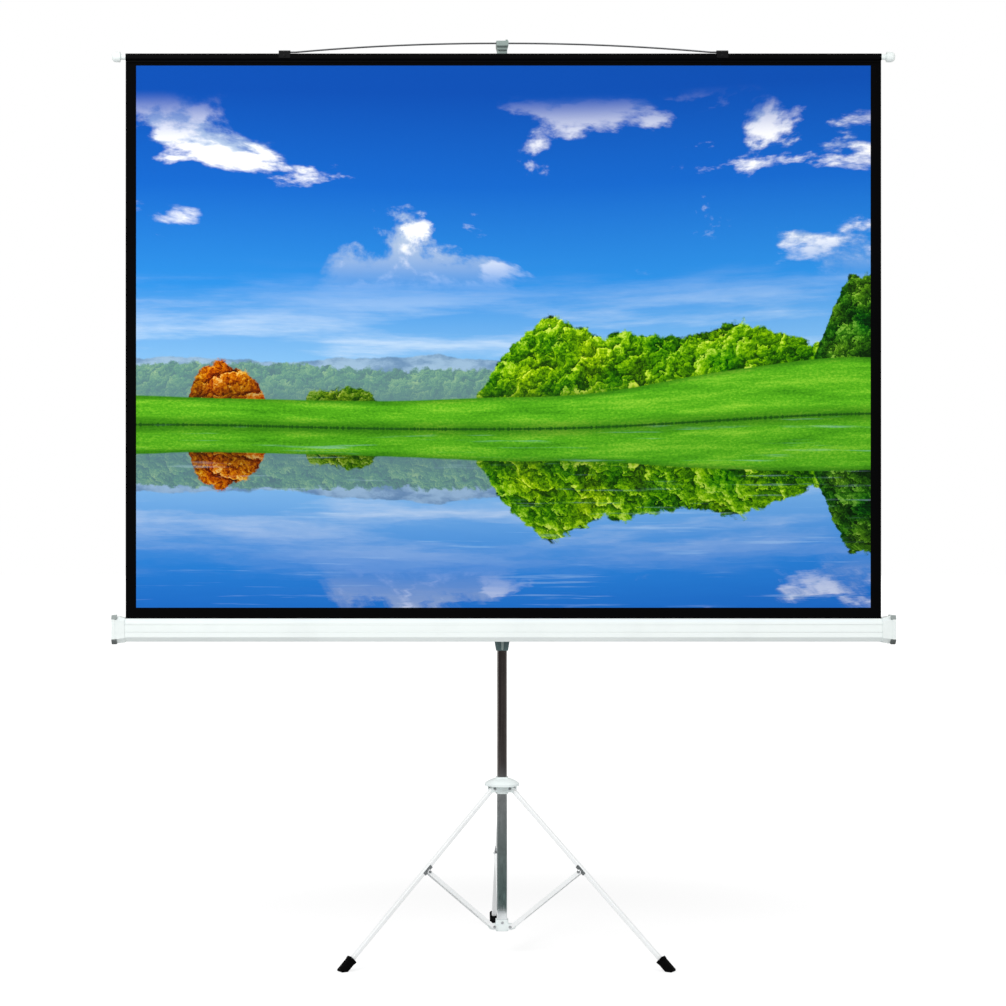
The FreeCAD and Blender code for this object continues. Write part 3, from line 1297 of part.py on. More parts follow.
def slat():
    """The slat at the fabric's top edge, with its end knobs and the clips for the bail."""
    place = stand(0, -d.fabric_offset, d.slat_mid)
    bar = body("slat_bar", place)
    section = rounded(sketch(bar, "YZ_Plane"), d.slat_depth, d.slat_height, d.slat_round)
    inner = 2 * d.slat_wall
    rounded(section, d.slat_depth - inner, d.slat_height - inner, d.slat_round - d.slat_wall)
    extrude(bar, section, d.fabric_width, both=True)
    holes = sketch(bar, "XZ_Plane")
    for facing in (-1, 1):
        disc(holes, d.screw_radius + d.seat_gap, d.clip_place * facing, clip_rivet_height())
    extrude(bar, holes, d.slat_depth, cut=True, back=True)

    for label, facing in (("left_slat_knob", -1), ("right_slat_knob", 1)):
        knob = body(label, place)
        plug = (half_fabric - d.slat_plug) * facing
        face = (half_fabric + d.seat_gap) * facing
        head = (half_case - d.slat_knob_length) * facing
        full = (half_case - d.slat_knob_length * HALF) * facing
        tip = half_case * facing
        side = [(plug, 0), (plug, d.slat_plug_radius), (face, d.slat_plug_radius)]
        side += [(face, d.slat_neck), (head, d.slat_neck), (head, d.slat_knob)]
        side += [(full, d.slat_knob), (tip, d.slat_knob * HALF), (tip, 0)]
        bow = (d.slat_knob + d.slat_knob_length * HALF) * (HALF * facing)
        revolve(knob, outline(sketch(knob, "XY_Plane"), side, {6: -bow}), "H_Axis")

    clips, rivets = [], []
    for name, facing in (("left", -1), ("right", 1)):
        clip = body(f"{name}_bail_clip", stand(d.clip_place * facing, -d.fabric_offset, d.slat_mid))
        top = d.slat_height * HALF + d.seat_gap
        front = d.slat_depth * HALF + d.seat_gap
        tab = front + d.clip_sheet
        high = top + d.clip_rise
        side = [(-tab, top - d.clip_tab), (-front, top - d.clip_tab), (-front, top)]
        side += [(front, top), (front, top + d.clip_rise * HALF), (front * HALF, high)]
        side += [(-front * HALF, high), (-tab, top + d.clip_rise * HALF)]
        extrude(clip, outline(sketch(clip, "YZ_Plane"), side), d.clip_width, both=True)
        pivot = disc(
            sketch(clip, "YZ_Plane"),
            d.wire_radius + d.pin_gap,
            0,
            d.slat_height * HALF + d.clip_pin_rise,
        )
        extrude(clip, pivot, d.clip_width + d.overrun, both=True, cut=True)
        hole = disc(sketch(clip, "XZ_Plane"), d.screw_radius + d.seat_gap, 0, clip_rivet_height())
        extrude(clip, hole, d.slat_depth, cut=True, back=True)
        clips.append(clip)
        rivets.append(
            screw(
                f"{name}_clip_rivet",
                stand(
                    d.clip_place * facing,
                    -d.fabric_offset - tab,
                    d.slat_mid + clip_rivet_height(),
                ),
                d.clip_sheet + d.slat_wall + d.seat_gap,
                d.screw_radius,
                d.screw_head,
                d.screw_rise * HALF,
            )
        )
    group("bail_clips", clips)
    group("bail_clip_rivets", rivets)


def clip_rivet_height():
    """Height of the clips' rivets above the slat's middle."""
    return d.slat_height * HALF - d.clip_tab * HALF


def bail():
    """The wire bail: a straight tail in each clip, a tight bend, then one long flat bow to the hook."""
    tail = float(d.clip_place + d.clip_width * HALF - d.overrun)
    bend_at = float(d.clip_place - d.clip_width * HALF - d.wire_tail)
    flat, rise = float(d.wire_flat) * HALF, float(d.bail_length)
    turn = 2 * math.atan2(rise, bend_at - flat)
    total = (bend_at - flat) / math.sin(turn)
    bend = float(d.wire_bend)
    bow = total - bend
    bend_x, bend_z = bend * math.sin(turn), bend * (WHOLE - math.cos(turn))
    half_x, half_z = bend * math.sin(turn * HALF), bend * (WHOLE - math.cos(turn * HALF))
    bow_x, bow_z = bow * math.sin(turn * HALF), bow * (WHOLE - math.cos(turn * HALF))
    edges = []
    for facing in (-1, 1):
        ends = [(tail, 0), (bend_at, 0), (bend_at - half_x, half_z), (bend_at - bend_x, bend_z)]
        ends += [(flat + bow_x, rise - bow_z), (flat, rise)]
        spots = [Vector(x * facing, 0, z) for x, z in ends]
        side = [Part.LineSegment(spots[0], spots[1]).toShape()]
        side.append(Part.Arc(spots[1], spots[2], spots[3]).toShape())
        side.append(Part.Arc(spots[3], spots[4], spots[5]).toShape())
        edges += side
    edges.append(Part.LineSegment(Vector(-flat, 0, rise), Vector(flat, 0, rise)).toShape())
    path = Part.Wire(Part.__sortEdges__(edges))
    first = path.OrderedVertexes[0].Point
    ring = Part.Circle(first, Vector(1, 0, 0), float(d.wire_radius)).toShape()
    made = doc.addObject("Part::Feature", "bail_wire")
    made.Label = "bail_wire"
    made.Shape = path.makePipeShell([Part.Wire([ring])], True, False)
    place = stand(0, -d.fabric_offset, d.bail_pin_height)
    place.Rotation = FreeCAD.Rotation(Vector(1, 0, 0), float(d.bail_lean) - RIGHT_ANGLE)
    made.Placement = place


def build():
    """Make every piece."""
    main_tube()
    low_hub()
    low_hub_fasteners()
    leg_hub()
    for side, azimuth in LEGS:
        leg(side, azimuth)
        brace(side, azimuth)
    carrier()
    clamp_face = d.carrier_depth * HALF + d.knob_boss_length
    clamp_knob("carrier_knob", d.carrier_knob_height, clamp_face, d.tube_side * HALF + d.slide_gap)
    collar()
    mast()
    collar_face = d.collar_side * HALF + d.knob_boss_length
    clamp_knob("mast_knob", collar_knob_height, collar_face, mast_side * HALF + d.slide_gap)
    shell()
    end_cap("left_end_cap", -1)
    end_cap("right_end_cap", 1)
    case_fasteners()
    swivel_plate()
    roller()
    fabric()
    slat()
    bail()


def pieces():
    """The objects to write: every body, group and single shape that belongs to no group."""
    grouped = {member.Name for o in doc.Objects if o.TypeId == "Part::Compound" for member in o.Links}
    kinds = ("PartDesign::Body", "Part::Compound", "Part::Feature", "Part::Box")
    return [o for o in doc.Objects if o.TypeId in kinds and o.Name not in grouped]


def write():
    """Check every object, then write one STEP file for each piece."""
    doc.recompute()
    failed = [o.Label for o in doc.Objects if {"Invalid", "Error"} & set(o.State)]
    if failed:
        raise RuntimeError(f"not rebuilt: {failed}")
    os.makedirs("parts", exist_ok=True)
    for piece in pieces():
        shape = piece.Shape
        if shape.isNull() or not shape.isValid() or not shape.Solids:
            raise RuntimeError(f"{piece.Label} has no valid solid")
        shape.exportStep(os.path.join("parts", f"{piece.Label}.step"))
        print(f"{piece.Label}: {len(shape.Solids)} solids, {shape.Volume:.0f} mm3")


build()
write()
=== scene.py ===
"""The looks of a portable tripod projection screen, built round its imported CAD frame."""

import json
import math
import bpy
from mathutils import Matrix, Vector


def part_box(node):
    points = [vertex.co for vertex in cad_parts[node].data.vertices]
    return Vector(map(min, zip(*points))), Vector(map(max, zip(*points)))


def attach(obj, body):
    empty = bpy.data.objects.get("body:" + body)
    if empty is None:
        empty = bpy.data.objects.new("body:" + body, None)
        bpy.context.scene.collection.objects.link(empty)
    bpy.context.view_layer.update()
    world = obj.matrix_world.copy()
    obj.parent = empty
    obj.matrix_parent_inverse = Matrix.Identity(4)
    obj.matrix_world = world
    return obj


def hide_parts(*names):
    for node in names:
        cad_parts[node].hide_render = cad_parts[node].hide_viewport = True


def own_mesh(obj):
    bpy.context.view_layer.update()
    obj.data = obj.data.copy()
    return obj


bl_info = {
    "name": "Tripod projection screen",
    "version": (1, 1, 0),
    "blender": (4, 5, 0),
    "location": "3D View > Sidebar > Screen",
    "description": "Cloth, finishes, small hardware and stage of a tripod projection screen",
    "category": "Object",
}

from functools import partial

import bmesh
import bpy
from mathutils import Vector

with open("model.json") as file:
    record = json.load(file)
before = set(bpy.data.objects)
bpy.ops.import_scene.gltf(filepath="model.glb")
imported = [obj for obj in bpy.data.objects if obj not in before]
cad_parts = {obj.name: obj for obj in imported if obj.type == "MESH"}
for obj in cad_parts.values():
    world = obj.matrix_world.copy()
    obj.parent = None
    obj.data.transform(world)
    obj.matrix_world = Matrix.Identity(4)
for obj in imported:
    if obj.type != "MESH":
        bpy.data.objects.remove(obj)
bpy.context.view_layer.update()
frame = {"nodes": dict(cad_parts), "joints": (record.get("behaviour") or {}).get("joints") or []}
MM = 0.001
SIDES = ("left", "right", "rear")


def joint(name):
    """A joint of the CAD frame."""
    return next(made for made in frame["joints"] if made["name"] == name)


def middle_of(node):
    """The middle of a CAD node's box."""
    low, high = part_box(node)
    return (low + high) / 2


# Settings that many shader nodes share.
PLUS = {"operation": "ADD"}
MINUS = {"operation": "SUBTRACT"}
TIMES = {"operation": "MULTIPLY"}
TIMES_PLUS = {"operation": "MULTIPLY_ADD"}
SMOOTH = {"interpolation_type": "SMOOTHSTEP"}
BLEND = {"data_type": "RGBA", "out": 2}
TINT = {"data_type": "RGBA", "blend_type": "MULTIPLY", "out": 2}


# Helpers for materials


def colour(code):
    """A sRGB hex code as linear RGBA."""
    parts = [int(code[i : i + 2], 16) / 255 for i in (1, 3, 5)]
    linear = [c / 12.92 if c <= 0.04045 else ((c + 0.055) / 1.055) ** 2.4 for c in parts]
    return (*linear, 1.0)


def feed(node, values):
    """Set a node's inputs to plain values or hex codes, or link them to other nodes' outputs."""
    for key, value in values.items():
        if isinstance(value, bpy.types.NodeSocket):
            node.id_data.links.new(value, node.inputs[key])
        else:
            node.inputs[key].default_value = colour(value) if isinstance(value, str) else value


def add(tree, kind, *values, out=0, **settings):
    """Add a node with its settings and links, and give back one output.

    Values go to the inputs in order, or by name or number where they come in a dict.
    """
    made = tree.nodes.new("ShaderNode" + kind)
    for name, value in settings.items():
        setattr(made, name, value)
    for place, value in enumerate(values):
        feed(made, value if isinstance(value, dict) else {place: value})
    return made.outputs[out] if made.outputs else made


def blank_material(name):
    """An empty node material, and the way to add nodes to it."""
    made = bpy.data.materials.new(name)
    made.use_nodes = True
    made.node_tree.nodes.clear()
    return made, partial(add, made.node_tree)


def new_material(name):
    """A node material, the way to add nodes to it, and its main shader."""
    made, put = blank_material(name)
    surface = put("BsdfPrincipled")
    put("OutputMaterial", surface)
    return made, put, surface.node


def grains(size_mm):
    """The pattern scale whose grains are this many millimetres across."""
    return 1 / (size_mm * MM)


def darker(code, share):
    """A colour with this share of its light taken off."""
    return tuple(c * (1 - share) for c in colour(code)[:3]) + (1.0,)


def marks(put, at, scale, detail, rough, *span, **how):
    """Noise as a share: the span says where it sets in and ends, and its values there."""
    noise = {"Vector": at, "Scale": scale, "Detail": detail, "Roughness": rough}
    return put("MapRange", put("TexNoise", noise), *span, **how)


# A skin's darker stains, its duller patches, and how far those swing its roughness. Stains and
# patches each have a width in millimetres, detail and roughness of the noise, and its span.
# Moulded plastic and rubber have flow marks; baked enamel is greyer where hands rub it.
MOULDED = ((45, 3.0, 0.6, 0.65, 0.35), (12, 4.0, 0.6, 0.3, 0.7), (-0.05, 0.07))
BAKED = ((160, 4.0, 0.62, 0.42, 0.68), (25, 5.0, 0.6, 0.35, 0.7), (-0.04, 0.08))


def coated(name, code, kind, roughness, grain_mm, depth_mm, vary, gloss, coat=0.0):
    """Plastic, rubber or enamel: a mould's grain or a faint orange peel, stains and patches."""
    (stain_mm, *stains), (patch_mm, *patches), swing = kind
    made, put, shader = new_material(name)
    at = put("TexCoord", out="Object")
    share = marks(put, at, grains(stain_mm), *stains, **SMOOTH)
    rough = marks(put, at, grains(patch_mm), *patches, *(roughness + by for by in swing))
    grain = put("TexNoise", {"Vector": at, "Scale": grains(grain_mm), "Detail": 2.0})
    values = {
        "Base Color": put("Mix", {0: share, 6: code, 7: darker(code, vary)}, **BLEND),
        "Roughness": rough,
        "Specular IOR Level": gloss,
        "Coat Weight": coat,
        "Coat Roughness": 0.12,
        "Normal": put("Bump", {"Height": grain, "Distance": depth_mm * MM}),
    }
    feed(shader, values)
    return made


def metal(name, code, roughness, grain_mm, stretch, depth_mm, smear=0.06, sway_mm=0.0):
    """A bare or plated metal: fine lines along it, faint clouds, and a slow waver if drawn."""
    made, put, shader = new_material(name)
    at = put("TexCoord", out="Object")
    along = put("Mapping", {"Vector": at, "Scale": stretch})
    lines = put("TexNoise", {"Vector": along, "Scale": grains(grain_mm), "Detail": 3.0})
    clouds_mm, waver_mm, dull = 30, 11, 0.14
    clouds = {"Vector": at, "Scale": grains(clouds_mm), "Detail": 4.0, "Roughness": 0.62}
    clouds = put("TexNoise", clouds)
    share = put("MapRange", clouds, 0.35, 0.7, **SMOOTH)
    both = put("Math", lines, 0.4, put("Math", clouds, 0.6, **TIMES), **TIMES_PLUS)
    fine = put("Bump", {"Height": lines, "Distance": depth_mm * MM})
    if sway_mm:
        slow = put("TexNoise", {"Vector": along, "Scale": grains(waver_mm), "Detail": 1.0})
        fine = put("Bump", {"Height": slow, "Distance": sway_mm * MM, "Normal": fine})
    values = {
        "Base Color": put("Mix", {0: share, 6: code, 7: darker(code, dull)}, **BLEND),
        "Metallic": 1.0,
        "Roughness": put("MapRange", both, 0.35, 0.65, roughness, roughness + smear),
        "Normal": fine,
    }
    feed(shader, values)
    return made


# The landscape that a projector throws on the cloth, painted into the cloth's colour as painted
# light. Lengths in it are shares of the picture's height.

# Each wood: its skyline (seed, bumps along one height, rise of a bump, height over the shore),
# its rises and falls (from, to, by), crown size, mist over it, and colours from shade to sun.
WOODS = (
    (
        (6.1, 1.6, 0.05, 0.075), ((1.05, 0.55, 0.035),), 0.030, 0.38,
        ("#1F4A2A", "#34683A", "#4C8444", "#6E9F4E", "#93B868"),
    ),
    (
        (9.4, 4.3, 0.10, -0.085), ((0.47, 0.78, 0.28), (1.12, 1.34, -0.075)), 0.072, 0.0,
        ("#14380A", "#2C6310", "#55951A", "#92C92C", "#D3EE63"),
    ),
    (
        (17.0, 5.0, 0.09, -0.16), ((1.13, 1.33, 0.40),), 0.055, 0.0,
        ("#0A2408", "#153C0D", "#2A5E16", "#4C8A24", "#86B848"),
    ),
    (
        (14.2, 8.5, 0.085, -0.095),
        ((0.05, 0.12, 0.19), (0.215, 0.25, -0.045), (0.30, 0.40, -0.15)), 0.058, 0.0,
        ("#3F1605", "#84330C", "#C4621A", "#EA9A32", "#FBD27A"),
    ),
    (
        (25.3, 6.0, 0.07, -0.115), ((0.2, 0.33, 0.175), (0.42, 0.58, -0.13)), 0.040, 0.0,
        ("#17340A", "#33600F", "#5E8F1E", "#93BB35", "#C8DC6A"),
    ),
)
# Where the five colours of a wood stand between shade and sun.
SHADES = (0.1, 0.3, 0.5, 0.7, 0.9)


def skyline(put, x, seed, bumps, rise, base, detail):
    """The height of a skyline over the shore at each x."""
    at = put("CombineXYZ", x, seed)
    line = put("TexNoise", {"Vector": at, "Scale": bumps, "Detail": detail, "Roughness": 0.55})
    return put("Math", put("Math", line, 0.5, **MINUS), rise * 2, base, **TIMES_PLUS)


def lay_under(put, picture, height, line, soft, layer):
    """A layer of the picture from the shore up to a line, with an edge this soft."""
    cover = put("MapRange", put("Math", line, height, **MINUS), -soft, soft)
    return put("Mix", {0: cover, 6: picture, 7: layer}, **BLEND)


def scaled(put, x, y, along, up, depth, right=0.0, above=0.0):
    """A place in a pattern that is drawn finer along and up than the picture, and moved."""
    x = put("Math", x, along, right, **TIMES_PLUS)
    return put("CombineXYZ", x, put("Math", y, up, above, **TIMES_PLUS), depth)


def with_stops(ramp, places, codes):
    """A colour ramp with these colours at these places."""
    stops = ramp.node.color_ramp.elements
    while len(stops) < len(codes):
        stops.new(0.5)
    for stop, place, code in zip(stops, places, codes):
        stop.position, stop.color = place, colour(code)
    return ramp


def tree_crowns(put, x, height, crown, codes, seed):
    """Crowns of trees as lit balls of leaf clumps; the sun stands at the upper left."""
    flat = put("CombineXYZ", put("Math", x, seed, **PLUS), height)
    size = 1 / crown
    stir = {"Vector": flat, "Scale": size * 2.1, "Detail": 5.0, "Roughness": 0.62}
    stir = put("VectorMath", put("TexNoise", stir, out=1), (0.5, 0.5, 0.5), **MINUS)
    at = put("VectorMath", stir, (crown * 1.1, crown * 1.1, 0), flat, **TIMES_PLUS)
    leaf = {"Vector": flat, "Scale": size * 11, "Detail": 6.0, "Roughness": 0.72}
    light = put("Math", put("TexNoise", leaf), 1.15, -0.12, **TIMES_PLUS)
    # Boughs, branches and leaf clumps: their share of the light, and how much finer each is.
    for part, finer in ((0.34, 1.0), (0.36, 3.1), (0.20, 8.0)):
        cell = {"Vector": at, "Scale": size * finer}
        centre = put("TexVoronoi", cell, out="Position", voronoi_dimensions="2D")
        lean = put("VectorMath", at, centre, **MINUS)
        sun = (-0.6 * size * finer * part, 0.9 * size * finer * part, 0)
        lit = put("VectorMath", lean, sun, out="Value", operation="DOT_PRODUCT")
        light = put("Math", light, lit, **PLUS)
    ramp = with_stops(put("ValToRGB", light), SHADES, codes)
    kinds = {"Vector": flat, "Scale": size * 0.8, "Detail": 1.0, "Roughness": 0.4}
    kinds = put("TexNoise", kinds)
    hue = put("MapRange", kinds, 0.3, 0.7, 0.475, 0.52)
    value = put("MapRange", kinds, 0.35, 0.65, 1.12, 0.82)
    return put("HueSaturation", hue, 1.05, value, 1.0, ramp)


def cumulus(put, picture, across, height):
    """Heaped clouds, lit from above, and a thin veil low in the sky."""
    tops = []
    # The second reading, a little towards the light, gives the clouds their relief.
    for right, up in ((0.0, 0.0), (0.03, -0.09)):
        at = scaled(put, across, height, 1.5, 3.0, 3.7, right, up)
        puffs = {"Vector": at, "Scale": 1.9, "Detail": 10.0, "Roughness": 0.57}
        tops.append(put("TexNoise", {**puffs, "Distortion": 0.25}))
    rise = put("MapRange", height, 0.24, 0.36, **SMOOTH)
    band = put("Math", rise, put("MapRange", height, 0.62, 0.5, **SMOOTH), **TIMES)
    cover = put("Math", put("MapRange", tops[0], 0.53, 0.60, **SMOOTH), band, **TIMES)
    relief = put("MapRange", put("Math", *tops, **MINUS), -0.035, 0.035, **SMOOTH)
    cloud = put("Mix", {0: relief, 6: "#AFC3DE", 7: "#FFFFFF"}, **BLEND)
    picture = put("Mix", {0: cover, 6: picture, 7: cloud}, **BLEND)
    at = scaled(put, across, height, 1.1, 9.0, 8.2)
    veil = marks(put, at, 1.6, 6.0, 0.6, 0.47, 0.72, 0.0, 0.75, **SMOOTH)
    low = put("Math", veil, put("MapRange", height, 0.32, 0.1, **SMOOTH), **TIMES)
    return put("Mix", {0: low, 6: picture, 7: "#E8F3FB"}, **BLEND)


def meadow(put, picture, across, height):
    """Long grass that rises to the right, darker under the trees and at the water."""
    top = skyline(put, across, 21.0, 1.3, 0.018, 0.055, 2.0)
    top = put("Math", top, put("MapRange", across, 0.7, 1.35, 0.0, 0.05, **SMOOTH), **PLUS)
    fine = scaled(put, across, height, 170.0, 300.0, 1.0)
    wide = scaled(put, across, height, 6.0, 55.0, 2.0)
    blades = put("TexNoise", {"Vector": fine, "Scale": 1.0, "Detail": 5.0, "Roughness": 0.7})
    swards = put("TexNoise", {"Vector": wide, "Scale": 1.0, "Detail": 4.0, "Roughness": 0.6})
    share = put("Math", blades, 0.55, put("Math", swards, 0.6, -0.08, **TIMES_PLUS), **TIMES_PLUS)
    greens = ("#2C7A0C", "#5AB01B", "#A6E03E")
    ramp = with_stops(put("ValToRGB", share), (0.3, 0.5, 0.74), greens)
    shade = put("MapRange", put("Math", top, height, **MINUS), 0.012, 0.0, 0.0, 0.55, **SMOOTH)
    grass = put("Mix", {0: shade, 6: ramp, 7: "#1F5A0A"}, **BLEND)
    wet = put("MapRange", height, 0.022, 0.0, 0.0, 0.6, **SMOOTH)
    grass = put("Mix", {0: wet, 6: grass, 7: "#1C5208"}, **BLEND)
    picture = lay_under(put, picture, height, top, 0.0012, grass)
    reeds = skyline(put, across, 30.0, 190.0, 0.006, 0.002, 4.0)
    return lay_under(put, picture, height, reeds, 0.001, "#1E5410")


def landscape(put, x, y, shore):
    """Sky, hills, woods and a meadow over a still lake; x and y run from the lower left."""
    # The far shore has shallow bays. Above it stands the land, and below it its mirror image,
    # which ripples swing more the nearer they are.
    bays = (0.3, 0.7, shore - 0.025, shore + 0.025)
    bank = marks(put, put("CombineXYZ", x, 2.6), 0.9, 1.0, 0.5, *bays)
    depth = put("Math", bank, y, **MINUS)
    wet = put("MapRange", depth, -0.001, 0.001)
    at = scaled(put, x, y, 9.0, 90.0, 0.0)
    ripple = put("TexNoise", {"Vector": at, "Scale": 1.0, "Detail": 3.0, "Roughness": 0.6})
    swing = put("Math", put("Math", ripple, 0.5, **MINUS), 0.09, **TIMES)
    swing = put("Math", put("Math", swing, depth, **TIMES), wet, **TIMES)
    height = put("Math", put("Math", depth, operation="ABSOLUTE"), swing, **PLUS)
    across = put("Math", swing, 1.2, x, **TIMES_PLUS)

    sky = put("ValToRGB", put("MapRange", height, 0.0, 0.62))
    blues = ("#A9DAF5", "#2E8FE0", "#1466C8", "#0B4DAE")
    sky = with_stops(sky, (0.0, 0.42, 0.72, 1.0), blues)
    picture = cumulus(put, sky, across, height)

    # Bare hills, hazy at their foot.
    peaks = skyline(put, across, 1.3, 2.6, 0.055, 0.125, 7.0)
    at = scaled(put, across, height, 1.0, 2.2, 5.0)
    rock = marks(put, at, 14.0, 6.0, 0.62, 0.4, 0.62, **SMOOTH)
    rock = put("Mix", {0: rock, 6: "#557FA8", 7: "#93B4D0"}, **BLEND)
    haze = put("MapRange", height, 0.16, 0.03, 0.0, 0.45)
    rock = put("Mix", {0: haze, 6: rock, 7: "#C4DDEE"}, **BLEND)
    picture = lay_under(put, picture, height, peaks, 0.0015, rock)

    # Woods from the far one to the near one, each darker at its foot.
    at = put("CombineXYZ", across, height, 4.4)
    ragged = put("TexNoise", {"Vector": at, "Scale": 55.0, "Detail": 5.0, "Roughness": 0.65})
    ragged = put("Math", put("Math", ragged, 0.5, **MINUS), 0.035, **TIMES)
    for line, steps, crown, mist, codes in WOODS:
        edge = put("Math", skyline(put, across, *line, 4.0), ragged, **PLUS)
        for start, end, by in steps:
            step = put("MapRange", across, start, end, 0.0, by, **SMOOTH)
            edge = put("Math", edge, step, **PLUS)
        wood = tree_crowns(put, across, height, crown, codes, line[0])
        foot = put("MapRange", height, 0.10, 0.05, 0.0, 0.5, **SMOOTH)
        wood = put("Mix", {0: foot, 6: wood, 7: codes[0]}, **BLEND)
        if mist:
            wood = put("Mix", {0: mist, 6: wood, 7: "#8FB5C8"}, **BLEND)
        picture = lay_under(put, picture, height, edge, 0.0022, wood)
    picture = meadow(put, picture, across, height)

    # The water takes light away, more of it nearby, and wind draws pale streaks on it.
    deepen = put("MapRange", depth, 0.0, 0.36, 0.10, 0.42)
    tint = put("Mix", {0: deepen, 6: "#FFFFFF", 7: "#2A66B8"}, **BLEND)
    water = put("Mix", {0: 1.0, 6: picture, 7: tint}, **TINT)
    at = scaled(put, x, y, 3.0, 75.0, 2.0)
    streaks = marks(put, at, 1.5, 4.0, 0.55, 0.58, 0.72, 0.0, 0.2, **SMOOTH)
    water = put("Mix", {0: streaks, 6: water, 7: "#BFE0F6"}, **BLEND)
    return put("Mix", {0: wet, 6: picture, 7: water}, **BLEND)


def picture_cloth(settings):
    """Coated screen cloth: a projected picture painted into its field as painted light, matt black
    borders, and a fine grain.
    """
    made, put, shader = new_material("matt_coated_cloth_with_picture")
    uv = put("UVMap", uv_map="cloth")
    across = put("SeparateXYZ", uv)
    up = across.node.outputs[1]
    low, high = settings.picture_low, settings.picture_high
    side, width = settings.side_border, settings.cloth_width
    tall = high - low
    x = put("Math", put("Math", across, side, **MINUS), tall, operation="DIVIDE")
    y = put("Math", put("Math", up, low, **MINUS), tall, operation="DIVIDE")
    # Painted light: the projector's picture is painted into the cloth's base colour.
    picture = landscape(put, x, y, settings.shore)
    # The printed border ends in a third of a millimetre of spread ink.
    soft = 0.3 * MM
    inside = put("MapRange", across, side - soft, side + soft)
    for value, outer, inner in (
        (across, width - side + soft, width - side - soft),
        (up, low - soft, low + soft),
        (up, high + soft, high - soft),
    ):
        inside = put("Math", inside, put("MapRange", value, outer, inner), **TIMES)
    values = {
        "Base Color": put("Mix", {0: inside, 6: settings.border_colour, 7: picture}, **BLEND),
        "Roughness": put("Math", inside, 0.06, 0.8, **TIMES_PLUS),
        "Specular IOR Level": 0.05,
        "Normal": put("Bump", {"Height": weave(put, uv), "Distance": 0.03 * MM}),
    }
    feed(shader, values)
    return made


def weave(put, uv):
    """Threads of the glass-fibre backing, which really are 0.4 mm apart, coarser so they show."""
    thread_mm = 1.2
    turns = []
    for out in (0, 1):
        place = put("SeparateXYZ", uv, out=out)
        turn = put("Math", place, math.tau * grains(thread_mm), **TIMES)
        turns.append(put("Math", turn, operation="SINE"))
    return put("Math", *turns, **TIMES)


def backing_cloth():
    """The black back of the cloth: a flat vinyl coat over a plain weave."""
    made, put, shader = new_material("black_backed_screen_cloth")
    uv = put("UVMap", uv_map="cloth")
    mottle = put("TexNoise", {"Vector": uv, "Scale": grains(60), "Detail": 4.0, "Roughness": 0.6})
    values = {
        "Base Color": put("Mix", {0: mottle, 6: "#0B0B0D", 7: "#161619"}, **BLEND),
        "Roughness": 0.72,
        "Specular IOR Level": 0.25,
        "Normal": put("Bump", {"Height": weave(put, uv), "Distance": 0.04 * MM}),
    }
    feed(shader, values)
    return made


# Helpers for meshes


def mesh_object(name, vertices, faces, materials, face_materials=None):
    """A smooth-shaded mesh object in the CAD's frame."""
    mesh = bpy.data.meshes.new(name)
    mesh.from_pydata([tuple(v) for v in vertices], [], faces)
    for material in materials:
        mesh.materials.append(material)
    if face_materials:
        mesh.polygons.foreach_set("material_index", face_materials)
    mesh.polygons.foreach_set("use_smooth", [True] * len(mesh.polygons))
    mesh.update()
    made = bpy.data.objects.new(name, mesh)
    bpy.context.scene.collection.objects.link(made)
    return made


def facing_out(piece):
    """Turn a closed skin the right way out."""
    shape = bmesh.new()
    shape.from_mesh(piece.data)
    if shape.calc_volume(signed=True) < 0:
        bmesh.ops.reverse_faces(shape, faces=shape.faces)
    shape.to_mesh(piece.data)
    shape.free()
    return piece


def bevelled(piece, width_mm, segments=2):
    """Round the sharp edges a little, as every real part's are, and leave gentle bends."""
    bevel = piece.modifiers.new("soft_edges", "BEVEL")
    bevel.width = width_mm * MM
    bevel.segments = segments
    bevel.limit_method = "ANGLE"
    bevel.angle_limit = math.radians(32)
    bevel.harden_normals = True
    bevel.use_clamp_overlap = True
    return piece


def joined_rings(name, rings, finish, capped=True):
    """A skin over rings that have the same number of points; capped rings close both ends."""
    count = len(rings[0])
    vertices = [point for ring in rings for point in ring]
    faces = []
    last = len(rings) - 1
    for i in range(last if capped else last + 1):
        here, there = i * count, (i + 1) % len(rings) * count
        for k in range(count):
            n = (k + 1) % count
            faces.append((here + k, here + n, there + n, there + k))
    if capped:
        faces.append(tuple(reversed(range(count))))
        faces.append(tuple(range(last * count, last * count + count)))
    return facing_out(mesh_object(name, vertices, faces, [finish_of(finish)]))


def turned(name, profile, centre, axis, finish, sides=40):
    """A piece turned on a lathe: (radius, height) points about an axis through a centre."""
    axis = Vector(axis)
    right = axis.orthogonal().normalized()
    front = axis.cross(right)
    rings = []
    for radius, height in profile:
        rings.append([])
        for k in range(sides):
            turn = math.tau * k / sides
            outward = right * math.cos(turn) + front * math.sin(turn)
            rings[-1].append(centre + outward * radius * MM + axis * height * MM)
    return joined_rings(name, rings, finish)


def extruded(name, section, start, end, finish, bevel_mm=0.0):
    """A section of (y, z) points drawn along X from start to end."""
    rings = [[Vector((x, y, z)) for y, z in section] for x in (start, end)]
    piece = joined_rings(name, rings, finish)
    if bevel_mm:
        bevelled(piece, bevel_mm, segments=3)
    return piece


# Finishes

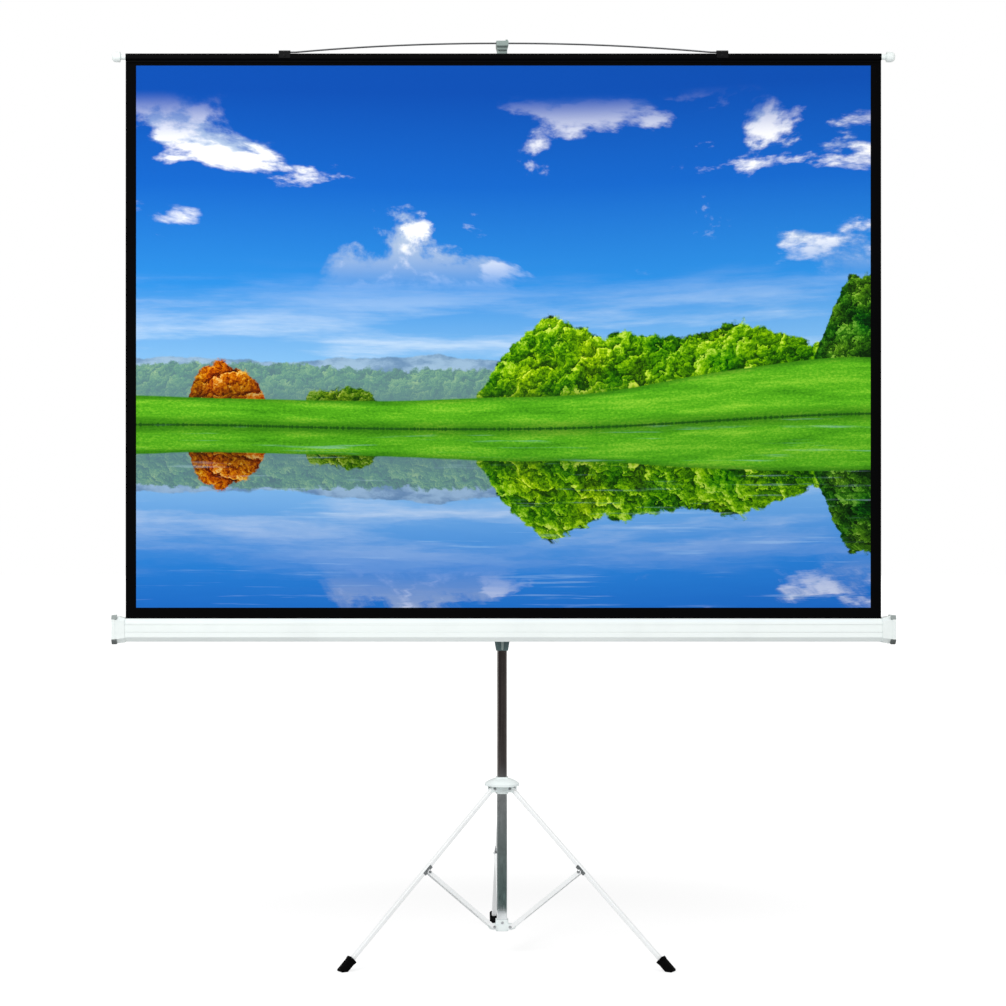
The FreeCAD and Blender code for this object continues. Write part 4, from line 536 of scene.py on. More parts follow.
# Each finish: how it is made, the setting of its colour, and then for
# metal: roughness, width of its lines, their stretch, depth, span of roughness, waver;
# coated: its kind, roughness, width and depth of its grain, how dark its stains are, its gloss
# and its clear coat. Widths and depths are in millimetres.
FINISHES = {
    # Hard chrome on drawn steel tube: a clear mirror with a slow waver and draw lines.
    "chromed_steel_tube": (metal, "chrome", 0.05, 3.0, (1, 1, 0.02), 0.0015, 0.06, 0.8),
    # Bright zinc on rivets, screws and sheet steel: pale, soft glints.
    "zinc_plated_steel": (metal, "zinc", 0.26, 0.9, (1, 1, 1), 0.01, 0.14),
    # Cold-drawn wire with a thin dark plate: satin, with lines along it.
    "drawn_dark_plated_wire": (metal, "wire", 0.3, 1.0, (0.05, 1, 1), 0.01),
    # Oil-tempered spring wire: brown-black and faintly glossy.
    "oil_tempered_spring_wire": (metal, "spring", 0.34, 1.0, (1, 1, 1), 0.01),
    # Extruded aluminium tube as it left the die: fine lines along it.
    "extruded_aluminium": (metal, "aluminium", 0.32, 1.2, (0.03, 1, 1), 0.01),
    # Baked enamel on the roll-formed case and its beads: smooth, with a faint peel.
    "baked_enamel_case": (coated, "case_enamel", BAKED, 0.32, 1.6, 0.012, 0.04, 0.5, 0.2),
    # Powder coat on legs and braces: a coarser peel than wet enamel.
    "powder_coated_steel": (coated, "white_coat", BAKED, 0.4, 1.1, 0.03, 0.04, 0.5, 0.2),
    # Baked black enamel on the slat: satin, so that it stays black under the lamps.
    "baked_enamel_slat": (coated, "black_enamel", BAKED, 0.55, 1.4, 0.02, 0.2, 0.05),
    # Moulded glass-filled nylon of the hubs: white, satin, a spark-eroded grain.
    "moulded_nylon_white": (coated, "white_nylon", MOULDED, 0.4, 0.8, 0.03, 0.05, 0.5),
    # Moulded ABS of end caps and slat knobs: smoother and a little glossier.
    "moulded_abs_pale": (coated, "pale_abs", MOULDED, 0.36, 0.9, 0.02, 0.05, 0.5),
    # Moulded nylon of the carrier and of the knobs' inserts: grey-green, visible flow marks.
    "moulded_nylon_grey_green": (coated, "grey_green", MOULDED, 0.42, 0.8, 0.03, 0.22, 0.5),
    # Moulded nylon of the hook and of the carrier's rib: a paler grey-green.
    "moulded_nylon_pale_grey": (coated, "hook_nylon", MOULDED, 0.42, 0.8, 0.03, 0.15, 0.5),
    # Moulded nylon of knobs, collar, clips and roller plugs: black, satin.
    "moulded_nylon_black": (coated, "black_nylon", MOULDED, 0.48, 0.8, 0.04, 0.25, 0.16),
    # Vulcanised rubber of the feet and their ribs: matt and dusty.
    "vulcanised_rubber": (coated, "rubber", MOULDED, 0.85, 0.6, 0.05, 0.35, 0.06),
    # Dark grey of the case's lower bumpers: painted shade of the end plates' lower bevels, which
    # face down; matt.
    "moulded_rubber_dark_grey": (coated, "bumper_rubber", MOULDED, 0.75, 0.6, 0.04, 0.25, 0.2),
    # Paler grey of the upper bumpers: painted shade and a painted reflection of the dark on the end
    # plates' upper bevels, paler than the lower ones as light falls from above; a little smoother
    # from handling.
    "moulded_rubber_grey": (coated, "grey_rubber", MOULDED, 0.7, 0.6, 0.04, 0.2, 0.3),
}
finishes = {}


def finish_of(name):
    """A named finish, made once from the settings."""
    if name not in finishes:
        maker, setting, *values = FINISHES[name]
        code = getattr(bpy.context.scene.screen_finishes, setting)
        finishes[name] = maker(name, code, *values)
    return finishes[name]


# CAD nodes by group and finish, each with the width in millimetres of its soft edges.
DRESSED = {
    "tubes": {
        "chromed_steel_tube": {"main_tube": 0, "mast_tube": 0},
        "moulded_nylon_black": {"mast_collar": 0.5},
        "moulded_nylon_pale_grey": {"hook_cap": 0.5},
        "zinc_plated_steel": {"hub_stop_rivet": 0.3, "hook_cap_screw": 0.2},
    },
    "hubs": {
        "moulded_nylon_white": {"lower_hub": 0.5, "sliding_hub": 0.5},
        "zinc_plated_steel": {"lower_hub_screw": 0.2, "lower_rivet_shanks": 0, "leg_rivets": 0.25},
    },
    "legs": {
        "powder_coated_steel": {"leg_tube": 0, "brace": 0.25},
        "zinc_plated_steel": {"brace_bracket": 0.2, "brace_rivet": 0.25, "brace_rivet_heads": 0.25},
        "vulcanised_rubber": {"foot": 0.6},
    },
    "carrier": {
        "moulded_nylon_grey_green": {"carrier_sleeve": 0.6},
        "zinc_plated_steel": {"swivel_bolt": 0.3},
        "moulded_nylon_black": {"swivel_washer": 0.2},
    },
    "knobs": {
        "moulded_nylon_black": {"knob": 0.7},
        "zinc_plated_steel": {"knob_stud": 0.3},
    },
    "case": {
        "baked_enamel_case": {"case_shell": 0},
        "moulded_abs_pale": {"left_end_cap": 0.5, "right_end_cap": 0.5},
        "zinc_plated_steel": {
            "end_cap_rivets": 0.25,
            "swivel_plate": 0.3,
            "swivel_plate_rivets": 0.25,
        },
    },
    "roller": {
        "extruded_aluminium": {"roller_tube": 0},
        "moulded_nylon_black": {"idle_plug": 0.3, "spring_plug": 0.3, "spring_anchor": 0.3},
        "zinc_plated_steel": {"spring_shaft": 0.3},
        "oil_tempered_spring_wire": {"torsion_spring": 0},
    },
    "slat": {
        "baked_enamel_slat": {"slat_bar": 0},
        "moulded_abs_pale": {"left_slat_knob": 0.5, "right_slat_knob": 0.5},
        "moulded_nylon_black": {"bail_clips": 0.4, "bail_clip_rivets": 0.2},
        "drawn_dark_plated_wire": {"bail_wire": 0},
    },
}


def dress(group, *owners):
    """Give a group of CAD nodes their finishes, and soft edges where asked.

    Nodes that are there once for each owner have the owner's name before theirs.
    """
    for finish, nodes in DRESSED[group].items():
        for node, bevel_mm in nodes.items():
            for name in [f"{owner}_{node}" for owner in owners] or [node]:
                piece = frame["nodes"][name]
                piece.data.materials.clear()
                piece.data.materials.append(finish_of(finish))
                if bevel_mm:
                    bevelled(piece, bevel_mm)
    return {"FINISHED"}


# Settings


def swatch(name, default, description):
    """A colour setting, as a sRGB hex code."""
    return bpy.props.StringProperty(name=name, default=default, description=description)


def number(name, default, description, **more):
    """A setting that is a number."""
    return bpy.props.FloatProperty(name=name, default=default, description=description, **more)


def length(name, default_mm, description):
    """A length setting in metres, given in millimetres."""
    kind = {"subtype": "DISTANCE", "unit": "LENGTH", "precision": 4}
    return number(name, default_mm * MM, description, **kind)


class ScreenFinishes(bpy.types.PropertyGroup):
    """Colours of the finishes."""

    chrome: swatch("Chrome", "#DDE1E2", "Chrome plate on pole and mast")
    zinc: swatch("Zinc", "#B4B7BA", "Zinc plate on screws, rivets and sheet steel")
    wire: swatch("Bail wire", "#8E9093", "Dark plate on the bail's wire")
    spring: swatch("Spring", "#56585A", "Oiled spring steel")
    aluminium: swatch("Aluminium", "#D5D8DB", "Bare aluminium of the roller")
    case_enamel: swatch("Case", "#F4FBF9", "Enamel on the case")
    white_coat: swatch("Legs", "#F8FAFA", "Powder coat on legs and braces")
    black_enamel: swatch("Slat", "#030304", "Enamel on the slat")
    white_nylon: swatch("Hubs", "#F0F8F7", "Moulded nylon of both hubs")
    pale_abs: swatch("Caps", "#F0F7F5", "Moulded ABS of end caps and slat knobs")
    grey_green: swatch("Carrier", "#617A7B", "Moulded nylon of the carrier")
    hook_nylon: swatch("Hook", "#9AAAA5", "Moulded nylon of the hook")
    black_nylon: swatch("Knobs", "#0B0B0D", "Moulded nylon of knobs, collar and clips")
    rubber: swatch("Feet", "#040404", "Rubber of the feet")
    # Painted shade: these two greys stand for the shade on the end plates' lower and upper bevels,
    # the lower one darker because it faces down.
    bumper_rubber: swatch("Lower bumpers", "#6A6F6E", "Rubber of the lower bumpers")
    grey_rubber: swatch("Upper bumpers", "#A2ABA9", "Rubber of the upper bumpers")


class ClothSettings(bpy.types.PropertyGroup):
    """Sizes of the cloth and of the projected picture painted on it."""

    cloth_width: length("Width", 1754, "Width of the cloth")
    thickness: length("Thickness", 0.5, "Thickness of the coated cloth")
    side_border: length("Side border", 24.5, "Width of the black side borders")
    top_border: length("Top border", 12, "Black border under the slat")
    low_border: length("Lower border", 25, "Black border above the case")
    picture_low: length("Picture foot", 0, "Worked out: lower edge of the picture on the cloth")
    picture_high: length("Picture head", 0, "Worked out: upper edge of the picture on the cloth")
    wave: length("Wave", 1.1, "How far the hanging cloth waves out of its plane")
    shore: number("Shore", 0.34, "Lake's far shore, as a share of the picture", min=0, max=1)
    border_colour: swatch("Border", "#030304", "Black of the borders")


class HardwareSettings(bpy.types.PropertyGroup):
    """Sizes of the small hardware."""

    bumper_length: length("Bumper length", 12.5, "Length of a case bumper along the case")
    bumper_height: length("Bumper height", 8.5, "Height of a lower bumper")
    bead_width: length("Bead width", 1.3, "Width of the beads along the case")
    bead_rise: length("Bead rise", 0.22, "How far the beads stand proud of the case")
    rib_width: length("Rib width", 2.4, "Width of the ribs round a rubber foot")
    rib_rise: length("Rib rise", 0.8, "How far those ribs stand proud")
    insert_radius: length("Insert radius", 9.5, "Radius of the insert in a clamp knob")
    insert_rise: length("Insert rise", 0.9, "How far that insert stands proud")
    lip_thickness: length("Lip thickness", 1.3, "Thickness of each lip under the slat")
    lip_depth: length("Lip depth", 5, "How far those lips reach below the slat")


class StageSettings(bpy.types.PropertyGroup):
    """Camera, lamps and background."""

    distance: length("Distance", 5764, "Camera to the pole, along Y")
    camera_x: length("Camera side", -280, "Camera to the left of the pole")
    camera_height: length("Camera height", 1060, "Camera above the floor")
    lens: number("Lens", 87.81, "Focal length in millimetres", unit="CAMERA")
    shift: number("Shift", 0.1195, "Sideways shift of the lens")
    ambient: number("Ambient", 0.565, "Strength of the even studio light", min=0)
    key: number("Key lamp", 126, "Power of the main lamp", min=0, unit="POWER")
    fill: number("Fill lamp", 50, "Power of the fill lamp", min=0, unit="POWER")
    flag_dark: swatch("Flags", "#3E3735", "Dark of the drapes that only mirrors see")
    flag_side: swatch("Side flags", "#9A9490", "Tone of the drapes to either side")
    flag_grey: swatch("Flag foot", "#828383", "Grey of the drapes on the floor, by the wall")
    flag_near: swatch("Flag hem", "#586764", "Grey of the drapes on the floor, by the legs")


# The pieces


def lay_uv(piece, uvs):
    """Give each corner of a mesh its vertex's place on the flat cloth, in metres."""
    layer = piece.data.uv_layers.new(name="cloth")
    for loop in piece.data.loops:
        layer.data[loop.index].uv = uvs[loop.vertex_index]


# Slow standing waves in the cloth: turns across and up, start, and share of the whole wave.
WAVES = ((7.3, 0.8, 0.0, 0.5), (15.1, -1.3, 1.0, 0.3))


def cloth_wave(cloth, u, v, calm):
    """How far the cloth leaves its plane: slow standing waves, and side edges that curl."""
    # Shares of its height over which the waves fade, and where they end, share of its width
    # that curls, and how far.
    fade, flat, curl, most = 0.12, 0.84, 0.12, 1.4
    rise = min(max((v - calm) / fade, 0), 1) * min(max((flat - v) / fade, 0), 1)
    slow = sum(math.sin(u * x + z * v + start) * share for x, z, start, share in WAVES)
    edge = max(0, abs(2 * u - 1) - (1 - curl)) / curl
    return cloth.wave * rise * (slow - most * edge * edge * math.sin(math.pi * v))


def hang_cloth(cloth, low, high, slot_top, back):
    """A closed sheet from the roller to the slat, the painted projected picture in front, black
    behind.
    """
    columns, rows = 96, 72
    width, tall = high.x - low.x, high.z - low.z
    middle, half = (low.y + high.y) / 2, cloth.thickness / 2
    calm = (slot_top - low.z) / tall
    vertices, uvs = [], []
    for side in (-1, 1):
        for j in range(rows + 1):
            for i in range(columns + 1):
                u, v = i / columns, j / rows
                y = middle + side * half + cloth_wave(cloth, u, v, calm)
                vertices.append((low.x + u * width, y, low.z + v * tall))
                uvs.append((u * width, v * tall))
    faces, kinds = [], []
    step, layer = columns + 1, (columns + 1) * (rows + 1)
    for j in range(rows):
        for i in range(columns):
            a = j * step + i
            b = a + layer
            faces += [(a, a + 1, a + step + 1, a + step), (b + step, b + step + 1, b + 1, b)]
            kinds += [0, 1]
    rims = []
    for i in range(columns):
        top = rows * step + i
        rims += [(i + 1, i), (top, top + 1)]
    for j in range(rows):
        a, b = j * step, j * step + columns
        rims += [(a, a + step), (b + step, b)]
    faces += [(a, b, b + layer, a + layer) for a, b in rims]
    kinds += [1] * len(rims)
    piece = mesh_object("screen_cloth", vertices, faces, [picture_cloth(cloth), back], kinds)
    lay_uv(piece, uvs)
    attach(piece, "case")
    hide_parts("screen_fabric")
    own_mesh(piece)


def wind_cloth(cloth, back):
    """The last turns on the roller, as a spiral strip."""
    low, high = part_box("wound_fabric")
    tube_low, tube_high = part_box("roller_tube")
    axis = Vector((0, (tube_low.y + tube_high.y) / 2, (tube_low.z + tube_high.z) / 2))
    # Thinner than the hanging cloth, so that it clears itself where it overlaps.
    thickness, clear, gap = cloth.thickness * 0.42, cloth.thickness * 0.45, 0.05 * MM
    inner = (tube_high.z - tube_low.z) / 2 + gap
    outer = (high.z - low.z) / 2 - clear
    steps, turns = 96, 1.15
    vertices, uvs = [], []
    so_far = 0.0
    for i in range(steps + 1):
        angle = turns * math.tau * i / steps
        radius = inner + (outer - inner) * i / steps
        if i:
            so_far += radius * turns * math.tau / steps
        outward = Vector((0, -math.cos(angle), math.sin(angle)))
        for x in (low.x, high.x):
            for r in (radius, radius + thickness):
                vertices.append(axis + outward * r + Vector((x, 0, 0)))
                uvs.append((x - low.x, so_far))
    faces = []
    for i in range(steps):
        a, b = i * 4, i * 4 + 4
        for p, q in ((0, 2), (3, 1), (1, 0), (2, 3)):
            faces.append((a + p, a + q, b + q, b + p))
    faces += [(0, 1, 3, 2), (steps * 4 + 2, steps * 4 + 3, steps * 4 + 1, steps * 4)]
    piece = facing_out(mesh_object("wound_cloth", vertices, faces, [back]))
    lay_uv(piece, uvs)
    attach(piece, "roller")
    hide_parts("wound_fabric")


class SCREEN_OT_cloth(bpy.types.Operator):
    """Cloth between roller and slat, and the cloth still on the roller"""

    bl_idname = "screen.cloth"
    bl_label = "Cloth"

    def execute(self, context):
        cloth = context.scene.screen_cloth
        low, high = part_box("screen_fabric")
        slot_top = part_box("case_shell")[1].z
        cloth.picture_low = slot_top - low.z + cloth.low_border
        cloth.picture_high = high.z - low.z - cloth.top_border
        back = backing_cloth()
        hang_cloth(cloth, low, high, slot_top, back)
        wind_cloth(cloth, back)
        return {"FINISHED"}


class SCREEN_OT_tubes(bpy.types.Operator):
    """Finish of pole and mast, with the collar, the hook, the stop rivet and the screw"""

    bl_idname = "screen.tubes"
    bl_label = "Pole and mast"

    def execute(self, context):
        return dress("tubes")


class SCREEN_OT_hubs(bpy.types.Operator):
    """Finish of both hubs and their rivets"""

    bl_idname = "screen.hubs"
    bl_label = "Hubs"

    def execute(self, context):
        return dress("hubs")


# A leg's lean from the pole in degrees, and its ribs' places in millimetres below its pivot.
LEG_LEAN = 46
RIB_PLACES = (534, 540, 546)


class SCREEN_OT_legs(bpy.types.Operator):
    """Finish of legs, braces and feet, and three ribs round each foot"""

    bl_idname = "screen.legs"
    bl_label = "Legs"

    def execute(self, context):
        sizes = context.scene.screen_hardware
        for side in SIDES:
            hinge = joint(f"{side}_leg_hinge")
            pivot, across = Vector(hinge["pos_m"]), Vector(hinge["axis"]).normalized()
            down = leg_direction(pivot, across)
            for number, along in enumerate(RIB_PLACES, 1):
                name = f"{side}_foot_rib_{number}"
                piece = foot_rib(name, pivot + down * along * MM, across, down, sizes)
                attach(piece, f"{side}_leg")
        return dress("legs", *SIDES)


def leg_direction(pivot, across):
    """The way from a leg's pivot to its foot, square to the pivot."""
    lean = math.radians(LEG_LEAN)
    outward = across.cross(Vector((0, 0, 1)))
    if outward.dot(pivot - middle_of("main_tube")) < 0:
        outward.negate()
    return (outward * math.sin(lean) - Vector((0, 0, 1)) * math.cos(lean)).normalized()


def foot_rib(name, centre, across, down, sizes):
    """A half-round rib round a foot's section, which has round corners."""
    half_across, half_deep, corner, sunk = 10 * MM, 9.5 * MM, 5 * MM, 0.3 * MM
    arc, bend = 6, 5
    deep = down.cross(across).normalized()
    rings = []
    for k in range(arc + 1):
        turn = math.pi * k / arc
        out = math.sin(turn) * sizes.rib_rise - sunk
        shift = down * (math.cos(turn) * sizes.rib_width / 2)
        ring = []
        for sx, sy, start in ((1, 1, 0), (-1, 1, 90), (-1, -1, 180), (1, -1, 270)):
            for step in range(bend + 1):
                a = math.radians(start + 90 * step / bend)
                u = sx * (half_across - corner) + (corner + out) * math.cos(a)
                v = sy * (half_deep - corner) + (corner + out) * math.sin(a)
                ring.append(centre + across * u + deep * v + shift)
        rings.append(ring)
    return joined_rings(name, rings, "vulcanised_rubber", capped=False)


class SCREEN_OT_carrier(bpy.types.Operator):
    """Finish of the carrier and its swivel, and the pale rib down the carrier's front"""

    bl_idname = "screen.carrier"
    bl_label = "Carrier"

    def execute(self, context):
        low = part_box("carrier_sleeve")[0]
        foot, head = low.z + 1.5 * MM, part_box("swivel_washer")[0].z - 6 * MM
        half, proud, root, run_out = 3.4 * MM, 1.3 * MM, low.y + 2 * MM, 3 * MM
        rings = []
        # Places up it, and the share of its width and height there: it tapers at both ends.
        places = ((foot, 0.55), (foot + run_out, 0.8), (head - run_out, 1.0), (head, 0.7))
        for z, share in places:
            wide, out = half * share, low.y - proud * share
            section = ((-wide, root), (-wide * 0.8, out), (wide * 0.8, out), (wide, root))
            rings.append([Vector((x, y, z)) for x, y in section])
        rib = joined_rings("carrier_rib", rings, "moulded_nylon_pale_grey")
        bevelled(rib, 0.4)
        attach(rib, "carrier")
        return dress("carrier")


class SCREEN_OT_knobs(bpy.types.Operator):
    """Finish of the clamp knobs, and the domed insert pressed into each"""

    bl_idname = "screen.knobs"
    bl_label = "Knobs"

    def execute(self, context):
        sizes = context.scene.screen_hardware
        radius, rise = sizes.insert_radius / MM, sizes.insert_rise / MM
        # From the outside in: a rim, a recess at a share of its rise, and a low dome.
        recess, dome = 0.6, 0.5
        profile = [(radius, 0), (radius, rise * 0.5), (radius - 0.6, rise), (radius - 1.6, rise)]
        profile += [(radius - 2.2, rise * recess), (radius - 3.0, rise * recess)]
        profile += [(radius * k, rise * (recess + dome * (1 - k))) for k in (0.5, 0.3, 0.1)]
        owners, finish = ("carrier", "mast"), "moulded_nylon_grey_green"
        for owner in owners:
            low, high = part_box(f"{owner}_knob")
            centre = Vector(((low.x + high.x) / 2, high.y, (low.z + high.z) / 2))
            piece = turned(f"{owner}_knob_insert", profile, centre, (0, 1, 0), finish)
            bevelled(piece, 0.12)
            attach(piece, f"{owner}_knob")
        return dress("knobs", *owners)


class SCREEN_OT_case(bpy.types.Operator):
    """Finish of the case and its end caps, and two raised beads along its front and its back"""

    bl_idname = "screen.case"
    bl_label = "Case"

    def execute(self, context):
        sizes = context.scene.screen_hardware
        low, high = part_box("case_shell")
        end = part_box("right_end_cap")[0].x
        # The root fills the line in the case that a bead runs along.
        root, arc = 0.55 * MM, 8
        for side, face, out in (("front", low.y, -1), ("rear", high.y, 1)):
            # Where the beads run, as shares of the case's height.
            for place_name, share in (("upper", 0.74), ("lower", 0.42)):
                middle = low.z + share * (high.z - low.z)
                section = []
                for k in range(arc + 1):
                    turn = math.pi * k / arc
                    across = -out * math.cos(turn) * sizes.bead_width / 2
                    section.append((face + out * math.sin(turn) * sizes.bead_rise, middle + across))
                for across in (0.5, -0.5):
                    place = middle + out * across * sizes.bead_width
                    section.append((face - out * root, place))
                name = f"{side}_{place_name}_bead"
                piece = extruded(name, section, -end, end, "baked_enamel_case")
                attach(piece, "case")
        return dress("case")


class SCREEN_OT_bumpers(bpy.types.Operator):
    """Dark bumpers on the end caps' lower corners, and grey ones on their upper front bevels, whose
    colours are painted shade
    """

    bl_idname = "screen.bumpers"
    bl_label = "Bumpers"

    def execute(self, context):
        sizes = context.scene.screen_hardware
        tall = sizes.bumper_height
        for side, out in (("left", -1), ("right", 1)):
            low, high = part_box(f"{side}_end_cap")
            outer = high.x if out > 0 else low.x
            ends = sorted((outer, outer - out * sizes.bumper_length))
            # Painted shade: these pieces are dark below and grey above to stand for the shade on
            # the end plates' bevels.
            dark, grey = "moulded_rubber_dark_grey", "moulded_rubber_grey"
            for name, section, finish, bevel_mm in (
                ("front_bumper", lower_bumper(low.y, -1, low.z, tall), dark, 1.6),
                ("rear_bumper", lower_bumper(high.y, 1, low.z, tall), dark, 1.6),
                ("slat_bumper", upper_bumper(low.y, high.z), grey, 0.8),
            ):
                piece = extruded(f"{side}_{name}", section, *ends, finish, bevel_mm)
                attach(piece, "case")
        return {"FINISHED"}


def lower_bumper(face, out, foot, tall):
    """The section of a lower bumper, which wraps the end plate's corner and stands proud."""
    proud, chamfer, inset, lap = 0.8 * MM, 9 * MM, 5 * MM, 0.35
    top, back, low = foot + tall + chamfer * lap, chamfer + tall * lap, foot - proud
    points = [(-proud, top), (-proud, foot + chamfer - proud), (chamfer - proud, low)]
    points += [(back, low), (back, foot + inset), (inset, top)]
    return [(face - out * behind, z) for behind, z in points]


def upper_bumper(face, crown):
    """The section of an upper bumper: it covers the plate's front bevel, clear of the slat knob.

    Its points are millimetres behind the end plate's face and above its crown.
    """
    points = ((-0.4, -9.6), (-0.4, -7.4), (4.2, 0.5), (6.2, 0.3), (6.2, -4.0), (2.0, -9.6))
    return [(face + behind * MM, crown + above * MM) for behind, above in points]


class SCREEN_OT_roller(bpy.types.Operator):
    """Finish of the roller and its spring"""

    bl_idname = "screen.roller"
    bl_label = "Roller"

    def execute(self, context):
        return dress("roller")


class SCREEN_OT_slat(bpy.types.Operator):
    """Finish of the slat and the bail, and the two lips that clamp the cloth under the slat"""

    bl_idname = "screen.slat"
    bl_label = "Slat"

    def execute(self, context):
        sizes = context.scene.screen_hardware
        low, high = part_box("slat_bar")
        middle, end = (low.y + high.y) / 2, high.x - 1 * MM
        # Each lip starts inside the slat, beside the cloth, and ends in an outer chamfer.
        near, inside, chamfer = 0.45 * MM, 0.4 * MM, (0.5 * MM, 0.8 * MM)
        far = near + sizes.lip_thickness
        top, foot = low.z + inside, low.z - sizes.lip_depth
        points = [(near, top), (near, foot), (far - chamfer[0], foot)]
        points += [(far, foot + chamfer[1]), (far, top)]
        for side, out in (("front", -1), ("rear", 1)):
            section = [(middle + out * y, z) for y, z in points]
            name, finish = f"{side}_slat_lip", "baked_enamel_slat"
            piece = extruded(name, section, -end, end, finish, 0.15)
            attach(piece, "slat")
        return dress("slat")


# The stage


def seen_rays(put):
    """One where a camera, a mirror or glass sees the surface, nothing for light that bounces."""
    camera = put("LightPath", out="Is Camera Ray")
    others = camera.node.outputs
    mirror = put("Math", camera, others["Is Glossy Ray"], operation="MAXIMUM")
    return put("Math", mirror, others["Is Transmission Ray"], operation="MAXIMUM")


def lay_floor():
    """A white floor that keeps a soft shadow and meets the white background without a line."""
    half = 30
    made, put = blank_material("pale_studio_floor")
    at = put("TexCoord", out="Object")
    # Where the lamps' light falls off, in metres from the pole, its own glow takes over.
    away = put("VectorMath", at, out="Value", operation="LENGTH")
    glow = put("Emission", {"Strength": put("MapRange", away, 0.7, 2.4, 0.71, 1.0, **SMOOTH)})
    speckle = put("TexNoise", {"Vector": at, "Scale": grains(40), "Detail": 3.0})
    paper = put("Mix", {0: speckle, 6: "#D6D6D6", 7: "#DEDEDE"}, **BLEND)
    shown = put("AddShader", put("BsdfDiffuse", "#A6A6A6"), glow)
    put("OutputMaterial", put("MixShader", seen_rays(put), put("BsdfDiffuse", paper), shown))
    corners = [(-half, -half, 0), (half, -half, 0), (half, half, 0), (-half, half, 0)]
    mesh_object("floor", corners, [(0, 1, 2, 3)], [made])


def light_world(scene, stage):
    """Even light on the object, and plain white where camera, mirror or glass sees past it."""
    world = bpy.data.worlds.new("studio")
    world.use_nodes = True
    scene.world = world
    world.node_tree.nodes.clear()
    put = partial(add, world.node_tree)
    strength = put("MapRange", seen_rays(put), 0.0, 1.0, stage.ambient, 1.0)
    put("OutputWorld", put("Background", (1, 1, 1, 1), strength))


# Radius and height of the drapes' section in metres, from near the feet up past the slat.
FLAG_SECTION = ((0.5, 0.02), (1.6, 0.02), (3.0, 0.03), (3.2, 0.3), (3.2, 1.2), (3.2, 3.4))
# Degrees from straight ahead: wide drapes in front, and narrower ones behind.
FLAG_TURNS = ((-128, 128), (148, 212))


def flag_cloth(stage):
    """Drapes: dark ahead, paler to either side, and grey on the floor."""
    made, put = blank_material("dark_studio_flags")
    at = put("TexCoord", out="Object")
    # The greys of the floor meet over these metres from the pole.
    away = put("MapRange", put("VectorMath", at, out="Value", operation="LENGTH"), 0.9, 2.9)
    floor = {0: away, 6: stage.flag_near, 7: stage.flag_grey}
    # Dark turns to pale over these cosines of the angle from straight ahead.
    flat = put("VectorMath", put("VectorMath", at, (1, 1, 0), **TIMES), operation="NORMALIZE")
    ahead = put("Math", put("SeparateXYZ", flat, out=1), -1.0, **TIMES)
    aside = put("MapRange", ahead, 0.93, 0.6, **SMOOTH)
    wall = {0: aside, 6: stage.flag_dark, 7: stage.flag_side}
    # The floor's grey turns into the wall's tone over these metres of height.
    up = put("MapRange", put("SeparateXYZ", at, out=2), 0.03, 0.11, **SMOOTH)
    tone = {0: up, 6: put("Mix", floor, **BLEND), 7: put("Mix", wall, **BLEND)}
    # Upright folds, so that a drawn tube shows the streaks of a real room.
    folds = put("Mapping", {"Vector": at, "Scale": (9.0, 9.0, 0.25)})
    folds = marks(put, folds, 1.0, 3.0, 0.6, 0.32, 0.68, 0.25, 1.9)
    put("OutputMaterial", put("Emission", put("Mix", tone, **BLEND), folds))
    return made


def stand_flags(stage):
    """Drapes round the screen that only mirrors see; they give the chrome its dark and grey."""
    middle = middle_of("main_tube").y
    vertices, faces = [], []
    count, steps = len(FLAG_SECTION), 32
    for start, end in FLAG_TURNS:
        first = len(vertices)
        for i in range(steps + 1):
            turn = math.radians(start + (end - start) * i / steps)
            for radius, tall in FLAG_SECTION:
                x, y = math.sin(turn) * radius, middle - math.cos(turn) * radius
                vertices.append((x, y, tall))
        for i in range(steps):
            for k in range(count - 1):
                a = first + i * count + k
                faces.append((a, a + 1, a + count + 1, a + count))
    flags = mesh_object("dark_flags", vertices, faces, [flag_cloth(stage)])
    for kind in ("camera", "diffuse", "transmission", "volume_scatter", "shadow"):
        setattr(flags, f"visible_{kind}", False)


# Each lamp's size in metres, and where it stands and aims, from the pole's foot.
LAMPS = {
    "key": (2.6, (-2.6, -3.4, 3.6), (0, 0, 1.1)),
    "fill": (3.0, (3.2, -3.0, 2.2), (0, 0, 1.0)),
}


def lamp(name, power, size, at, towards):
    """A square soft lamp."""
    light = bpy.data.lights.new(name, "AREA")
    light.energy, light.size = power, size
    made = bpy.data.objects.new(name, light)
    bpy.context.scene.collection.objects.link(made)
    made.location = at
    made.rotation_euler = (towards - at).to_track_quat("-Z", "Y").to_euler()


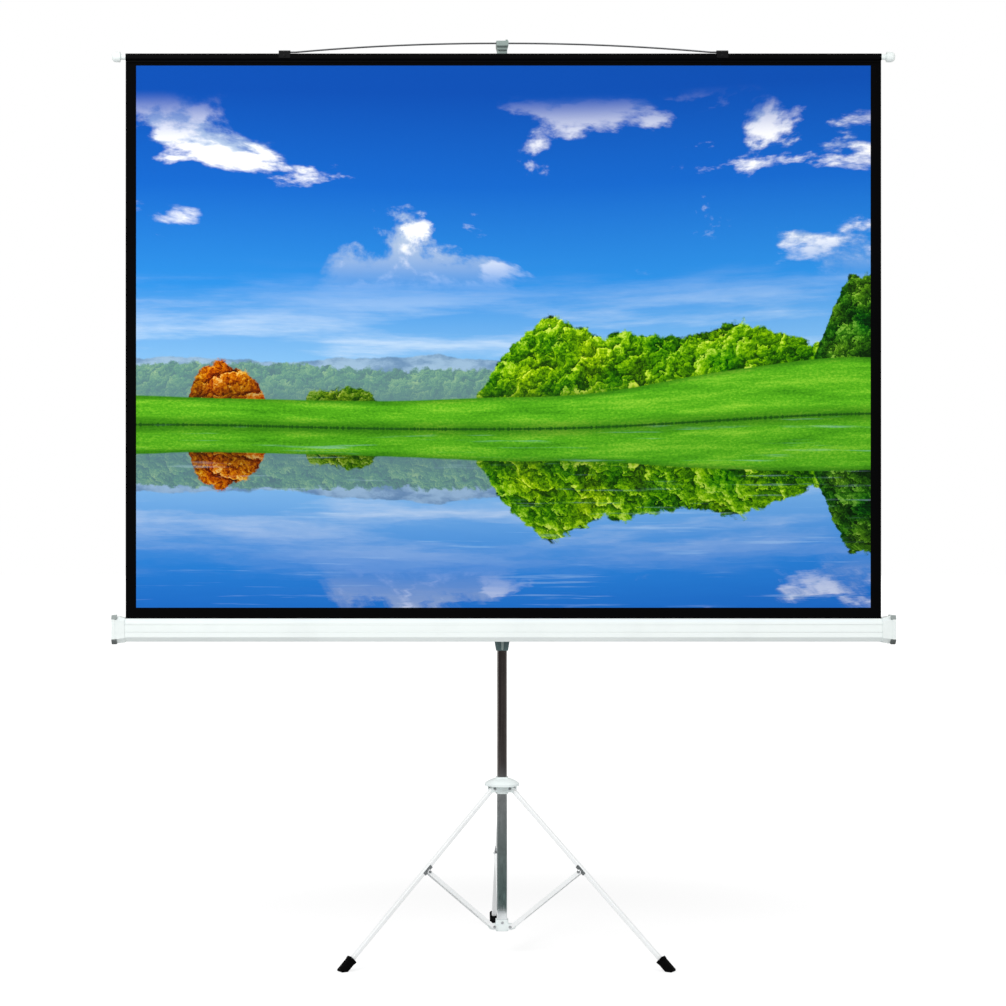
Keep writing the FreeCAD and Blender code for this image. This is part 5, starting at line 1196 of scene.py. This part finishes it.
class SCREEN_OT_stage(bpy.types.Operator):
    """Floor, world light, flags, lamps and camera"""

    bl_idname = "screen.stage"
    bl_label = "Stage"

    def execute(self, context):
        stage = context.scene.screen_stage
        context.scene.view_settings.view_transform = "Standard"
        lay_floor()
        light_world(context.scene, stage)
        stand_flags(stage)
        foot = Vector((0, middle_of("main_tube").y, 0))
        for name, (size, at, aim) in LAMPS.items():
            power = getattr(stage, name)
            lamp(f"{name}_lamp", power, size, foot + Vector(at), foot + Vector(aim))
        camera = bpy.data.cameras.new("camera")
        camera.lens, camera.sensor_width, camera.shift_x = stage.lens, 36.0, stage.shift
        camera.clip_end = 100
        made = bpy.data.objects.new("camera", camera)
        context.scene.collection.objects.link(made)
        made.location = (stage.camera_x, foot.y - stage.distance, stage.camera_height)
        made.rotation_euler = (math.pi / 2, 0, 0)
        context.scene.camera = made
        return {"FINISHED"}


OPERATORS = (
    SCREEN_OT_cloth,
    SCREEN_OT_tubes,
    SCREEN_OT_hubs,
    SCREEN_OT_legs,
    SCREEN_OT_carrier,
    SCREEN_OT_knobs,
    SCREEN_OT_case,
    SCREEN_OT_bumpers,
    SCREEN_OT_roller,
    SCREEN_OT_slat,
    SCREEN_OT_stage,
)


class SCREEN_PT_pieces(bpy.types.Panel):
    """Lists the settings and the pieces of the screen"""

    bl_idname = "SCREEN_PT_pieces"
    bl_label = "Projection screen"
    bl_space_type = "VIEW_3D"
    bl_region_type = "UI"
    bl_category = "Screen"

    def draw(self, context):
        for group in GROUPS:
            settings = getattr(context.scene, group)
            box = self.layout.box()
            for name in settings.__annotations__:
                box.prop(settings, name)
        for operator in OPERATORS:
            self.layout.operator(operator.bl_idname)


GROUPS = {
    "screen_cloth": ClothSettings,
    "screen_finishes": ScreenFinishes,
    "screen_hardware": HardwareSettings,
    "screen_stage": StageSettings,
}


def register():
    """Register settings, operators and the panel."""
    for made in (*GROUPS.values(), *OPERATORS, SCREEN_PT_pieces):
        bpy.utils.register_class(made)
    for name, group in GROUPS.items():
        setattr(bpy.types.Scene, name, bpy.props.PointerProperty(type=group))


def unregister():
    """Take everything back."""
    for name in GROUPS:
        delattr(bpy.types.Scene, name)
    for made in (SCREEN_PT_pieces, *reversed(OPERATORS), *reversed(GROUPS.values())):
        bpy.utils.unregister_class(made)


def main():
    """Make every piece."""
    register()
    for operator in OPERATORS:
        getattr(bpy.ops.screen, operator.bl_idname.split(".")[1])()


if __name__ == "__main__":
    main()
